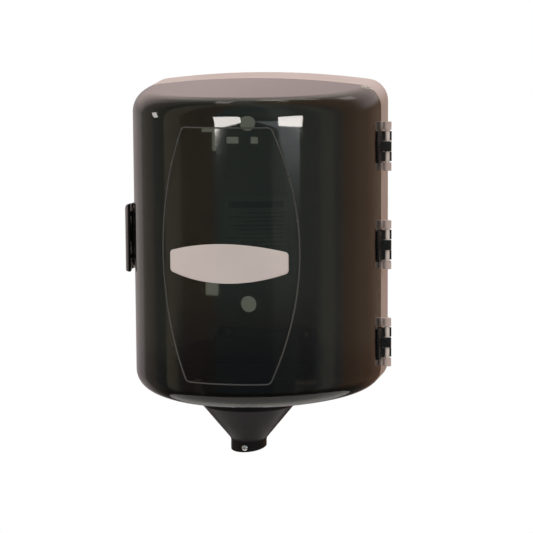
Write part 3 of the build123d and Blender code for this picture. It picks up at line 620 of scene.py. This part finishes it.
# %% [markdown]
# The badge
#
# A pressed plate of satin silver, narrower at its middle, glued on a thin pad. Its outline is two
# shallow arcs with short upright ends. Rings of the same outline, drawn in step by step, carry the
# rolled edge and a slight crown, so the light runs over it as over a real pressing.

# %% Badge outline, plate and finish
badge_z = -13.4
badge_reach = 53.0
badge_middle_half = 17.2
badge_end_half = 9.0
badge_corner = 3.5
badge_least_corner = 1.2
badge_seat = 0.6
badge_thickness = 1.4
badge_crown = 0.2
badge_edge_in = 0.9
badge_edge_rise = 0.75
badge_side_top = badge_seat + badge_thickness - badge_crown - badge_edge_rise


def badge_quarter(margin, arc_steps=36, corner_steps=8, end_steps=8):
    """Quarter of the badge's outline: upright end, rounded corner, then the long shallow arc."""
    reach = badge_reach - margin
    end_half = badge_end_half - margin
    middle_half = badge_middle_half - margin
    corner = max(badge_corner - margin, badge_least_corner)
    drop = middle_half - end_half
    arc_radius = (reach**2 + drop**2) / (2 * drop)
    arc_z = middle_half - arc_radius
    corner_x = reach - corner
    corner_z = arc_z + sqrt((arc_radius - corner) ** 2 - corner_x**2)
    turn_end = atan2(corner_z - arc_z, corner_x)
    end_run = np.linspace(0, corner_z, end_steps, endpoint=False)
    ends = np.stack([np.full_like(end_run, reach), end_run], axis=1)
    turn = np.linspace(0, turn_end, corner_steps, endpoint=False)
    rounds = np.stack([corner_x + corner * np.cos(turn), corner_z + corner * np.sin(turn)], axis=1)
    sweep = np.linspace(turn_end, pi / 2, arc_steps)
    arcs = np.stack([arc_radius * np.cos(sweep), arc_z + arc_radius * np.sin(sweep)], axis=1)
    return np.vstack([ends, rounds, arcs])


def badge_ring(margin, out, shrink=1.0):
    """Whole outline laid over the nose arc at the height out, drawn in by margin and then by shrink."""
    quarter = badge_quarter(margin)
    upper = np.vstack([quarter[:-1], quarter[::-1] * [-1, 1]])
    ring = np.vstack([upper[:-1], (upper * [1, -1])[::-1][:-1]]) * shrink
    y = front_depth(ring[:, 0], out)
    return np.stack([ring[:, 0], y, badge_z + ring[:, 1]], axis=1)


badge_rings = [badge_ring(0.4, badge_seat, shrink) for shrink in (0.001, 0.5, 1.0)]
badge_rings.append(badge_ring(0.1, badge_seat + 0.15))
for edge_turn in np.linspace(0, pi / 2, 7):
    edge_in = badge_edge_in * (1 - cos(edge_turn))
    badge_rings.append(badge_ring(edge_in, badge_side_top + badge_edge_rise * sin(edge_turn)))
for shrink in np.linspace(0.985, 0.001, 16):
    crown = badge_crown * (1 - shrink**2)
    badge_rings.append(badge_ring(badge_edge_in, badge_side_top + badge_edge_rise + crown, shrink))
badge_shape = gather(np.stack(badge_rings), wrap_columns=True)

badge_finish, badge_tree, badge_shader, badge_vector = start_material("satin_silver_badge")
badge_look = ((0.74, 0.66, 0.63), (0.68, 0.60, 0.57), 0.30, 0.42)
brush_stretch = (900.0, 900.0, 14.0)
brush_depth = 0.006 * mm
tone_and_gloss(badge_tree, badge_shader, badge_vector, *badge_look, tone_scale=10.0, rub_scale=40.0)
badge_stretch = badge_tree.nodes.new("ShaderNodeMapping")
badge_stretch.inputs["Scale"].default_value = brush_stretch
badge_tree.links.new(badge_vector, badge_stretch.inputs["Vector"])
badge_brush = place_group(badge_tree, fine_grain, badge_stretch.outputs["Vector"], Scale=1.0)
badge_shader.inputs["Metallic"].default_value = 0.2
add_relief(badge_tree, badge_shader, badge_brush.outputs["Height"], brush_depth)
make_piece(
    "silver_badge_plate", badge_shape, "cover", "badge_silver", badge_finish, "badge_plate", crease=60
)

# %% [markdown]
# The instruction label
#
# A thin film lies inside the cover and is seen through it. It carries a heading bar and rows of plain
# bars. They are a mask worked out from object coordinates: rows by height, and lengths that change from
# row to row, so the film needs no image.

# %% Label film and its bars
label_left, label_right = -4.0, 52.0
label_bottom, label_top = -28.0, 45.4
label_gap = 0.12
label_thickness = 0.3
label_width = np.linspace(label_left, label_right, 40)[:, None]
label_height = np.linspace(label_bottom, label_top, 24)[None, :]


def label_skin(outward):
    """Film surface at a distance from the nose arc: width times height on the grid."""
    x = label_width + 0 * label_height
    return np.stack([x, front_depth(x, outward), label_height + 0 * x], axis=-1)


label_finish, label_tree, label_shader, label_vector = start_material("label_film")
label_split = label_tree.nodes.new("ShaderNodeSeparateXYZ")
label_tree.links.new(label_vector, label_split.inputs["Vector"])


def math_node(tree, operation, first, second=0.0):
    """Math node on two sockets or numbers."""
    node = tree.nodes.new("ShaderNodeMath")
    node.operation = operation
    for place, value in enumerate((first, second)):
        if isinstance(value, (int, float)):
            node.inputs[place].default_value = value
        else:
            tree.links.new(value, node.inputs[place])
    return node.outputs["Value"]


def times(tree, first, second):
    """Product of two sockets or numbers."""
    return math_node(tree, "MULTIPLY", first, second)


row_pitch = 3.6 * mm
row_low, row_high = 0.3, 0.68
row_start, row_swing, row_beat = 9 * mm, 7 * mm, 2.4
heading_left = 3 * mm
heading_low, heading_high = 35 * mm, 40.5 * mm
text_low, text_high = -20 * mm, 31 * mm
bar_right = 48 * mm
row_strength = 0.7
film_tone, bar_tone = (0.52, 0.57, 0.55), (0.01, 0.01, 0.01)


def between(tree, value, low, high):
    """One where a value lies between two limits, zero elsewhere."""
    above = math_node(tree, "GREATER_THAN", value, low)
    below = math_node(tree, "LESS_THAN", value, high)
    return times(tree, above, below)


across_label, up_label = label_split.outputs["X"], label_split.outputs["Z"]
row_number = math_node(label_tree, "DIVIDE", up_label, row_pitch)
row_share = math_node(label_tree, "FRACT", row_number)
row_mask = between(label_tree, row_share, row_low, row_high)
row_floor = math_node(label_tree, "FLOOR", row_number)
row_wave = math_node(label_tree, "SINE", times(label_tree, row_floor, row_beat))
row_end = math_node(label_tree, "ADD", times(label_tree, row_wave, row_swing), row_start)
row_sides = between(label_tree, across_label, row_end, bar_right)
row_zone = between(label_tree, up_label, text_low, text_high)
text_mask = times(label_tree, times(label_tree, row_mask, row_sides), row_zone)
heading_sides = between(label_tree, across_label, heading_left, bar_right)
heading_rows = between(label_tree, up_label, heading_low, heading_high)
heading_mask = times(label_tree, heading_sides, heading_rows)
bar_mask = math_node(label_tree, "MAXIMUM", heading_mask, times(label_tree, text_mask, row_strength))
label_color = blended(label_tree, bar_mask, film_tone, bar_tone)
label_tree.links.new(label_color, label_shader.inputs["Base Color"])
label_marks = place_group(label_tree, handling_marks, label_vector, Scale=60.0, Clean=0.35, Rubbed=0.5)
label_tree.links.new(label_marks.outputs["Roughness"], label_shader.inputs["Roughness"])
label_shape = shell(label_skin(-wall - label_gap), label_skin(-wall - label_gap - label_thickness))
make_piece(
    "label_with_plain_bars", label_shape, "cover", "label_film", label_finish, "instruction_label"
)

# %% [markdown]
# The funnel
#
# The towel leaves through a turned form: flange, straight collar, blended cone and a neck whose lip is
# cut on a slant. The profile is a list of radii and heights carried round the roll axis. At the neck,
# each point's height is clipped to the slanted plane, which cuts inside and outside alike.

# %% Funnel profile carried round the roll axis
tray_floor_z = -121.0
flange_z = tray_floor_z - 2.5
flange_radius = 54.0
collar_radius = 42.6
funnel_wall = 2.4
cone_top_z = -152.0
cone_bottom_z = -184.0
neck_radius = 16.3
neck_blend = 6.0
lip_z = -192.1
lip_slope = 0.155
lip_lean = 0.07
collar_round = 1.6
flange_round = 0.6
root_round = 1.2


def blended_corner(before, corner, after, radius, steps=12):
    """Round a corner of a profile by an arc of the radius: tangent points, then the arc between them."""
    before, corner, after = (np.array(p, dtype=float) for p in (before, corner, after))
    first = (before - corner) / np.linalg.norm(before - corner)
    second = (after - corner) / np.linalg.norm(after - corner)
    half_angle = np.arccos(first @ second) / 2
    reach = radius / np.tan(half_angle)
    bisector = (first + second) / np.linalg.norm(first + second)
    centre = corner + bisector * radius / np.sin(half_angle)
    start = corner + first * reach - centre
    end = corner + second * reach - centre
    spread = np.arccos(np.clip(start @ end / radius**2, -1, 1))
    share = np.linspace(0, 1, steps)[:, None]
    arc = (np.sin((1 - share) * spread) * start + np.sin(share * spread) * end) / np.sin(spread)
    return centre + arc


def lathe(profile, centre, turns=128):
    """Profile of (radius, height) points turned once round a vertical axis through the centre."""
    turn = np.linspace(0, 2 * pi, turns, endpoint=False)[None, :]
    profile = np.asarray(profile, dtype=float)
    x = centre[0] + profile[:, :1] * np.cos(turn)
    y = centre[1] + profile[:, :1] * np.sin(turn)
    return np.stack([x, y, profile[:, 1:] + 0 * turn], axis=-1)


def funnel_profile():
    """Outside from the flange down to the lip, round the lip and up inside, as (radius, height)."""
    lip_run = -np.linspace(0, 1, 12) ** 0.8
    deep = lip_z - neck_radius * lip_slope - 3
    collar_inside = collar_radius - funnel_wall
    neck_inside = neck_radius - funnel_wall
    rim_top, rim_low = (flange_radius, tray_floor_z), (flange_radius, flange_z)
    root, collar_end = (collar_radius, flange_z), (collar_radius, cone_top_z)
    outer_cone = blended_corner(collar_end, (neck_radius, cone_bottom_z), (neck_radius, deep), neck_blend)
    inner_cone = blended_corner(
        (neck_inside, deep), (neck_inside, cone_bottom_z), (collar_inside, cone_top_z), neck_blend
    )
    collar_turn = blended_corner(root, collar_end, outer_cone[0], collar_round, 8)
    flange_turn = blended_corner(rim_top, rim_low, root, flange_round, 5)
    root_turn = blended_corner(rim_low, root, collar_end, root_round, 6)
    neck_heights = outer_cone[-1, 1] + (outer_cone[-1, 1] - deep) * lip_run[1:]
    outer_neck = np.stack([np.full_like(neck_heights, neck_radius), neck_heights], axis=1)
    inner_neck = outer_neck[::-1] - [funnel_wall, 0]
    return np.vstack(
        [
            [(collar_inside, tray_floor_z), (flange_radius - 0.4, tray_floor_z)],
            flange_turn,
            root_turn,
            collar_turn,
            outer_cone,
            outer_neck,
            inner_neck,
            inner_cone,
            [(collar_inside, cone_top_z), (collar_inside, tray_floor_z)],
        ]
    )


def cut_on_slant(grid):
    """Lift points below the slanted lip plane on to it: height at least lip plus lean and slope."""
    plane = lip_z + lip_lean * grid[..., 0] + lip_slope * (grid[..., 1] - roll_y)
    grid[..., 2] = np.maximum(grid[..., 2], plane)
    return grid


funnel_grid = cut_on_slant(lathe(funnel_profile(), (0.0, roll_y)))
funnel_shape = gather(funnel_grid, wrap_columns=True)
make_piece(
    "turned_outlet_funnel", funnel_shape, "housing", "funnel_plastic", funnel_finish, "outlet_funnel"
)

# %% [markdown]
# Screws and rivets
#
# A screw head is a low dome with a cross cut into it. Its top is a polar grid: the dome's height less
# the depth of the cross, where the cross is the larger of two soft-edged bars. The same function makes
# the bright screw at the lip, the zinc screws inside and, with no cross, the clips' black rivets.


# %% A domed head with its shank, placed by a point and a direction
# Each size lists the head's radius and height and the shank's radius and length
lip_screw_size = (2.6, 1.3, 1.15, 4.0)
tray_screw_size = (3.2, 1.9, 1.5, 5.4)
funnel_screw_size = (3.2, 1.9, 1.5, 4.8)
rivet_size = (2.2, 0.8, 1.25, 2.4)


def domed_head(place, outward, size, cross=0.9):
    """Shank, underside, rounded rim and dome as rings about the axis; the cross lowers the dome."""
    head_radius, head_height, shank_radius, shank_length = size
    dome = np.linspace(1, 0, 18)
    reach = np.concatenate([[0, shank_radius, shank_radius, head_radius * 0.97], head_radius * dome])
    base = np.concatenate(
        [[-shank_length, -shank_length, 0, 0], head_height * (0.35 + 0.65 * (1 - dome**2.4))]
    )
    turn = np.linspace(0, 2 * pi, 48, endpoint=False)[None, :]
    across, along = reach[:, None] * np.cos(turn), reach[:, None] * np.sin(turn)
    height = base[:, None] + 0 * turn
    slot_half, slot_reach = 0.16 * head_radius, 0.62 * head_radius
    soft = 0.1 * head_radius

    def bar(narrow, long):
        """Soft-edged bar: one inside its half width and half length, falling to zero outside."""
        inside_narrow = np.clip((slot_half - np.abs(narrow)) / soft + 0.5, 0, 1)
        return inside_narrow * np.clip((slot_reach - np.abs(long)) / soft + 0.5, 0, 1)

    mask = np.maximum(bar(across, along), bar(along, across))
    mask[:4] = 0
    height = height - cross * 0.55 * head_height * mask
    w = np.array(outward, dtype=float)
    w /= np.linalg.norm(w)
    u = np.cross(w, [0.0, 0.0, 1.0] if abs(w[2]) < 0.9 else [1.0, 0.0, 0.0])
    u /= np.linalg.norm(u)
    v = np.cross(w, u)
    grid = np.array(place) + across[..., None] * u + along[..., None] * v + height[..., None] * w
    return gather(grid, wrap_columns=True)


def side_width(y):
    """Half width of the plan on a flank at the depth y."""
    return flank_x + sqrt(flank_radius**2 - (y + seam_depth) ** 2)


def side_spot(y, z, outward):
    """Point and outward direction on the right flank, moved out along the wall's normal."""
    normal_x = (side_width(y) - flank_x) / flank_radius
    normal_y = (y + seam_depth) / flank_radius
    place = (side_width(y) + outward * normal_x, y + outward * normal_y, z)
    return place, (normal_x, normal_y, 0.0)


# %% Place the screws and rivets
nozzle_front_y = roll_y - neck_radius - 0.1
nozzle_screw_z = -190.4
lip_head = domed_head((0, nozzle_front_y, nozzle_screw_z), (0, -1, 0), lip_screw_size)
make_piece("bright_lip_screw", lip_head, "housing", "bright_steel", bright_finish, "nozzle_screw")
bracket_thickness = 3.5
bracket_front_y = -wall - bracket_thickness
tray_screw_x = 38.0
tray_heads = [
    domed_head((x, bracket_front_y, z), (0, -1, 0), tray_screw_size)
    for x in (-tray_screw_x, tray_screw_x)
    for z in (-101.5, -110)
]
make_piece(
    "tray_bracket_screws", merge(*tray_heads), "housing", "zinc_steel", zinc_finish, "tray_screws"
)
screw_circle = 48.4
funnel_heads = []
for turned_by in (90, 210, 330):
    screw_x = screw_circle * cos(radians(turned_by))
    screw_y = roll_y + screw_circle * sin(radians(turned_by))
    funnel_heads.append(domed_head((screw_x, screw_y, flange_z), (0, 0, -1), funnel_screw_size))
make_piece(
    "funnel_flange_screws", merge(*funnel_heads), "housing", "zinc_steel", zinc_finish, "funnel_screws"
)
hinge_centres = (79.8, -10.2, -100.2)
rivet_y = -47.35
rivet_offset = 9
leaf_thickness = 1.9
rivets = []
for centre_z in hinge_centres:
    for rivet_z in (centre_z - rivet_offset, centre_z + rivet_offset):
        outer_place, out_way = side_spot(rivet_y, rivet_z, leaf_thickness)
        inner_place = side_spot(rivet_y, rivet_z, -wall)[0]
        in_way = tuple(-part for part in out_way)
        rivets.append(domed_head(outer_place, out_way, rivet_size, 0.0))
        rivets.append(domed_head(inner_place, in_way, rivet_size, 0.0))
make_piece("clip_rivets_domed", merge(*rivets), "cover", "rivet_plastic", clip_finish, "clip_rivets")

# %% [markdown]
# Clips, latch and the moulded parts inside
#
# These pieces have their right shape in CAD already. A welded copy with a small bevel gives each the
# soft edge that a mould leaves, and that edge is what catches the light on black plastic.

# %% Soft-edged copies of the small mouldings
for hinge in ("top", "middle", "bottom"):
    soften(f"hinge_clip_{hinge}", "cover", "clip_plastic", clip_finish, 0.25)
    soften(f"hinge_rod_{hinge}", "housing", "rod_plastic", rod_finish, 0.3)
soften("latch_lever", "latch", "latch_black", latch_finish, 0.45, 3)
soften("latch_base", "cover", "latch_base_plastic", latch_base_finish, 0.2)
soften("nozzle_insert", "housing", "insert_plastic", insert_finish, 0.3)


# %% Finishes for the CAD nodes that stay on show
def dress(node, material):
    """Give a CAD node's own slots a material, without touching its mesh."""
    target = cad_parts[node]
    if not target.material_slots:
        target.data.materials.append(material)
    for place in target.material_slots:
        place.link = "OBJECT"
        place.material = material


kept_nodes = {
    "rear_housing": housing_finish,
    "roll_tray": tray_finish,
    "catch_spring": spring_finish,
    "catch_screws": zinc_finish,
    "latch_base_screws": zinc_finish,
    "latch_pin": bright_finish,
    "latch_spring": spring_finish,
    "badge_pad": foam_finish,
}
for kept_name, kept_finish in kept_nodes.items():
    dress(kept_name, kept_finish)
print("CAD nodes kept on show:", len(kept_nodes))

# %% [markdown]
# Floor and studio
#
# The dispenser hangs on a wall, so the floor lies well below it. It is pale and still takes the shadow.
# The world gives each kind of ray its own room: the camera and rays that pass the smoke see white, gloss
# mirrors a dim room of plain upright strips, and all other surfaces take a soft, slightly warm light.

# %% Pale floor
floor_drop = 0.55
floor_z = cad_low.z - floor_drop
floor_radius = 0.74
floor_turns = np.linspace(0, 2 * pi, 96, endpoint=False)
floor_x, floor_y = floor_radius * np.cos(floor_turns), floor_radius * np.sin(floor_turns)
floor_points = np.stack([floor_x, floor_y, 0 * floor_turns + floor_z], axis=1)
floor_mesh = bpy.data.meshes.new("pale_floor")
floor_mesh.from_pydata(floor_points.tolist(), [], [tuple(range(len(floor_points)))])
floor_piece = bpy.data.objects.new("pale_floor", floor_mesh)
bpy.context.collection.objects.link(floor_piece)
floor_finish, floor_tree, floor_shader, floor_vector = start_material("pale_floor_paint")
floor_tones = {"Main_Tone": (0.86, 0.86, 0.86), "Second_Tone": (0.82, 0.82, 0.82)}
floor_drift = place_group(floor_tree, tone_drift, floor_vector, Scale=0.8, **floor_tones)
floor_rays = floor_tree.nodes.new("ShaderNodeLightPath")
floor_tree.links.new(floor_drift.outputs["Color"], floor_shader.inputs["Base Color"])
floor_shader.inputs["Roughness"].default_value = 0.9
floor_shader.inputs["Specular IOR Level"].default_value = 0.0
floor_tree.links.new(floor_rays.outputs["Is Camera Ray"], floor_shader.inputs["Emission Strength"])
floor_shader.inputs["Emission Color"].default_value = (0.3, 0.3, 0.3, 1.0)
floor_mesh.materials.append(floor_finish)

# %% World: white behind, a dim room in front, soft light all round
world = bpy.data.worlds.new("soft_room")
bpy.context.scene.world = world
world.use_nodes = True
room = world.node_tree
room_light = room.nodes["Background"]
room_rays = room.nodes.new("ShaderNodeLightPath")
room_way = room.nodes.new("ShaderNodeTexCoord")
room_split = room.nodes.new("ShaderNodeSeparateXYZ")
room.links.new(room_way.outputs["Generated"], room_split.inputs["Vector"])
room_x, room_y, room_z = (room_split.outputs[axis] for axis in "XYZ")

# What gloss sees round the room, as upright strips: degrees from the front, to the right positive
room_strips = (
    (-180, -128, (0.42, 0.36, 0.36)),
    (-123, -107, (0.20, 0.17, 0.15)),
    (-104, -91, (0.12, 0.13, 0.12)),
    (-88, -66, (0.42, 0.38, 0.29)),
    (-62, -28, (0.28, 0.20, 0.155)),
    (-23, 34, (0.21, 0.29, 0.29)),
    (38, 64, (0.40, 0.46, 0.44)),
    (68, 82, (0.30, 0.33, 0.32)),
    (87, 95, (0.42, 0.42, 0.36)),
    (99, 105, (0.28, 0.26, 0.25)),
    (107, 128, (0.38, 0.24, 0.165)),
    (140, 150, (0.31, 0.175, 0.115)),
    (165, 180, (0.20, 0.115, 0.075)),
)
wall_bright = (0.80, 0.64, 0.615)
room_low = (0.07, 0.06, 0.05)
front_floor = (0.10, 0.09, 0.11)
soft_light = (0.74, 0.72, 0.71)
top_light = (0.98, 0.95, 0.93)
warm_shade = (0.30, 0.21, 0.16)
turn_angle = math_node(room, "ARCTAN2", room_x, times(room, room_y, -1.0))
turn_share = math_node(room, "ADD", math_node(room, "DIVIDE", turn_angle, 2 * pi), 0.5)
room_ramp = room.nodes.new("ShaderNodeValToRGB")
room.links.new(turn_share, room_ramp.inputs["Fac"])
stops = room_ramp.color_ramp.elements
stops.remove(stops[1])
for start, end, strip_color in room_strips:
    for degrees_round in (start, end):
        stop = stops[0] if degrees_round == -180 else stops.new(degrees_round / 360 + 0.5)
        stop.position = degrees_round / 360 + 0.5
        stop.color = (*strip_color, 1.0)
# Spans in which a zone of the room fades in, as parts of a direction of length one
behind, above, below = (0.5, 0.8), (0.05, 0.25), (-0.3, -0.6)
bright_mask = times(room, ranged(room, room_y, *behind), ranged(room, room_z, *above))
low_mask = ranged(room, room_z, *below)
print("room seen by gloss has", len(room_strips), "strips")

# %% A window, and a darker floor in the room's front half
# A cool window to the right, its left edge on a slant, which fades towards the floor
window_glow = (1.5, 1.65, 1.7)
window_slant, window_left = -7.7, 0.225
window_left_fade, window_right_fade = (-0.02, 0.02), (1.18, 1.13)
window_low_fade, window_top_fade = (-0.105, -0.065), (0.02, -0.03)
window_edge = math_node(room, "ADD", times(room, room_z, window_slant), window_left)
from_left = ranged(room, math_node(room, "SUBTRACT", turn_angle, window_edge), *window_left_fade)
window_sides = times(room, from_left, ranged(room, turn_angle, *window_right_fade))
window_heights = times(room, ranged(room, room_z, *window_low_fade), ranged(room, room_z, *window_top_fade))
window_mask = times(room, window_sides, window_heights)
room_seen = blended(room, window_mask, room_ramp.outputs["Color"], window_glow)
wall_seen = blended(room, bright_mask, room_seen, wall_bright)
# The front half of the room is darker near its floor
front_low, front_left, front_right = (-0.135, -0.165), (-1.35, -1.2), (1.5, 1.3)
front_share = 0.7
front_sides = times(room, ranged(room, turn_angle, *front_left), ranged(room, turn_angle, *front_right))
front_mask = times(room, ranged(room, room_z, *front_low), front_sides)
front_seen = blended(room, times(room, front_mask, front_share), wall_seen, front_floor)
gloss_seen = blended(room, low_mask, front_seen, room_low)
print("window glow", window_glow)

# %% What each kind of ray sees of the room
# Soft light: shaded to the right, brighter from above
to_right, overhead = (0.05, 0.8), (0.1, 0.9)
side_light = blended(room, ranged(room, room_x, *to_right), soft_light, warm_shade)
light_seen = blended(room, ranged(room, room_z, *overhead), side_light, top_light)
with_gloss = blended(room, room_rays.outputs["Is Glossy Ray"], light_seen, gloss_seen)
past_smoke = room_rays.outputs["Is Transmission Ray"]
see_through = math_node(room, "MAXIMUM", room_rays.outputs["Is Camera Ray"], past_smoke)
world_color = blended(room, see_through, with_gloss, (1.0, 1.0, 1.0))
# The mouth in the base would show white low in the cover, so rays that pass the smoke and dip see dark
dipping = (-0.166, -0.178)
mouth_shade = (0.05, 0.05, 0.05)
through_mouth = times(room, past_smoke, ranged(room, room_z, *dipping))
world_color = blended(room, through_mouth, world_color, mouth_shade)
room.links.new(world_color, room_light.inputs["Color"])
print("world for gloss, soft light and see-through rays has", len(room.nodes), "nodes")

# %% [markdown]
# Camera
#
# The viewpoint was found by fitting the body's edges: about 13 degrees to the right, 8 degrees above,
# almost 2 metres away. The lens follows from the object's size in the picture.

# %% Camera at the fitted viewpoint
picture_size = 533
pixels_per_radian = 2042.1
camera_azimuth = radians(12.789)
camera_elevation = radians(7.591)
camera_roll = radians(-0.366)
camera_place = Vector((0.42158, -1.86609, 0.21690))
back_way = Vector(
    (
        sin(camera_azimuth) * cos(camera_elevation),
        -cos(camera_azimuth) * cos(camera_elevation),
        sin(camera_elevation),
    )
)
level_right = Vector((cos(camera_azimuth), sin(camera_azimuth), 0))
level_up = back_way.cross(level_right)
camera_right = cos(camera_roll) * level_right + sin(camera_roll) * level_up
camera_up = -sin(camera_roll) * level_right + cos(camera_roll) * level_up
camera_data = bpy.data.cameras.new("photo_view")
camera_data.sensor_width = 36.0
camera_data.lens = pixels_per_radian / picture_size * camera_data.sensor_width
camera = bpy.data.objects.new("photo_view", camera_data)
bpy.context.collection.objects.link(camera)
turned = Matrix((camera_right, camera_up, back_way)).transposed().to_4x4()
camera.matrix_world = Matrix.Translation(camera_place) @ turned
bpy.context.scene.camera = camera
bpy.context.scene.view_settings.view_transform = "Standard"
print("lens", round(camera_data.lens, 1), "mm")

# %% [markdown]
# Lamps
#
# Two soft areas give the shape its light. The small bright marks at the cover's upper edge are lamps
# mirrored in its fillet: the cover's own grid tells which point shows at a place in the picture, and
# the mirror direction there says where the lamp hangs. These lamps are linked to the cover alone, since
# on rougher pieces they would only add a glare.


# %% Lamp helpers
def area_lamp(name, place, toward, width, height, power, color=(1.0, 1.0, 1.0), diffuse=1.0):
    """Rectangular lamp at a place, turned to face a point."""
    data = bpy.data.lights.new(name, "AREA")
    data.shape = "RECTANGLE"
    data.size, data.size_y = width, height
    data.energy = power
    data.color = color
    data.diffuse_factor = diffuse
    lamp = bpy.data.objects.new(name, data)
    bpy.context.collection.objects.link(lamp)
    lamp.location = place
    lamp.rotation_mode = "QUATERNION"
    lamp.rotation_quaternion = (Vector(toward) - Vector(place)).to_track_quat("-Z", "Y")
    lamp.visible_camera = False
    return lamp


def grid_normals(grid):
    """Outward normals of the cover's grid: the cross product of its two differences."""
    along = np.gradient(grid, axis=0)
    across = np.gradient(grid, axis=1)
    normal = np.cross(across, along)
    length = np.linalg.norm(normal, axis=-1, keepdims=True)
    return normal / np.maximum(length, 1e-9)


def picture_places(grid):
    """Where each grid point (in metres) falls in the picture, in pixels."""
    away = grid - np.array(camera_place)
    depth = -(away @ np.array(back_way))
    across = picture_size / 2 + pixels_per_radian * (away @ np.array(camera_right)) / depth
    down = picture_size / 2 - pixels_per_radian * (away @ np.array(camera_up)) / depth
    return np.stack([across, down], axis=-1)


def between_columns(grid, steps=8):
    """Grid with extra columns, each a straight mix of its two neighbours."""
    place = np.linspace(0, grid.shape[1] - 1, steps * (grid.shape[1] - 1) + 1)
    low = np.minimum(place.astype(int), grid.shape[1] - 2)
    share = (place - low)[None, :, None]
    return grid[:, low] * (1 - share) + grid[:, low + 1] * share


# A finer grid of the upper nose, where the ceiling lamps are mirrored
glint_angles = np.linspace(first_angle, pi - first_angle, 900)
upper_columns = slice(50, 95)
glint_skin = cover_skin(glint_angles, 0.0)[:, upper_columns]
glint_points = between_columns(glint_skin) * mm
glint_normals = between_columns(grid_normals(glint_skin))
glint_places = picture_places(glint_points)


def mirrored_spot(pixel, distance):
    """Place in the room that shows at a pixel: the surface point plus the mirrored line of sight."""
    miss = np.linalg.norm(glint_places - np.array(pixel), axis=-1)
    spot = np.unravel_index(np.argmin(miss), miss.shape)
    point, normal = glint_points[spot], glint_normals[spot]
    normal = normal / np.linalg.norm(normal)
    view = np.array(camera_place) - point
    view /= np.linalg.norm(view)
    if normal @ view < 0:
        normal = -normal
    return point + distance * (2 * (normal @ view) * normal - view), point


def mirrored_lamp(name, edges, radiance, color, distance=2.0):
    """Lamp whose mirror image has its left, right, upper and lower edges at four pixels."""
    places, points = zip(*(mirrored_spot(pixel, distance) for pixel in edges))
    left, right, upper, lower = (Vector(place) for place in places)
    center = (left + right + upper + lower) / 4
    width, height = (right - left).length, (upper - lower).length
    away = (center - Vector(points[0])).normalized()
    side_way = (right - left).normalized()
    side_way = (side_way - side_way.dot(away) * away).normalized()
    lamp = area_lamp(name, center, points[0], width, height, radiance * pi * width * height, color, 0.0)
    lamp.light_linking.receiver_collection = mirror_pieces
    turned_lamp = Matrix((side_way, away.cross(side_way), away)).transposed()
    lamp.rotation_quaternion = turned_lamp.to_quaternion()
    print(name, "is", round(width, 2), "by", round(height, 2), "m at", [round(v, 2) for v in center])


# %% Hang the lamps
mirror_pieces = bpy.data.collections.new("mirror_of_ceiling_lamps")
mirror_pieces.objects.link(cover_piece)
broad_key = area_lamp("broad_key", (1.3, -1.9, 1.7), (0, 0, 0), 1.6, 1.6, 13.0, (1.0, 0.98, 0.96))
top_fill = area_lamp("top_fill", (0.0, 0.1, 2.2), (0, 0, 0), 1.4, 1.0, 5.0, (1.0, 0.96, 0.94))
for soft_lamp in (broad_key, top_fill):
    soft_lamp.visible_glossy = False
# Edges of each mirror image in the picture: left, right, upper and lower, in pixels
ceiling_glints = {
    "left_ceiling_glint": (((213.4, 119.4), (240.2, 119.2), (227, 116.6), (226.6, 122.2)), 16.5),
    "right_ceiling_glint": (((278, 119), (303, 118), (289.8, 116.2), (291, 121.4)), 17.5),
    "small_left_glint": (((152.9, 115), (157.2, 114.8), (155.3, 112.4), (154.7, 117.3)), 5.0),
    "far_row_first": (((216, 102.5), (231, 102.3), (223.5, 101.4), (223.5, 103.4)), 1.7),
    "far_row_second": (((272.4, 100.6), (279.8, 100.4), (276, 99.6), (276, 101.6)), 2.6),
    "far_row_third": (((294.6, 99.4), (301.4, 99), (298, 98.2), (298, 100.2)), 1.6),
    "far_row_fourth": (((340.4, 98.8), (354.2, 97.4), (347.3, 97), (347.3, 99.4)), 0.8),
}
glint_color = (1.0, 0.94, 0.91)
for glint_name, (glint_edges, glint_radiance) in ceiling_glints.items():
    mirrored_lamp(glint_name, glint_edges, glint_radiance, glint_color)
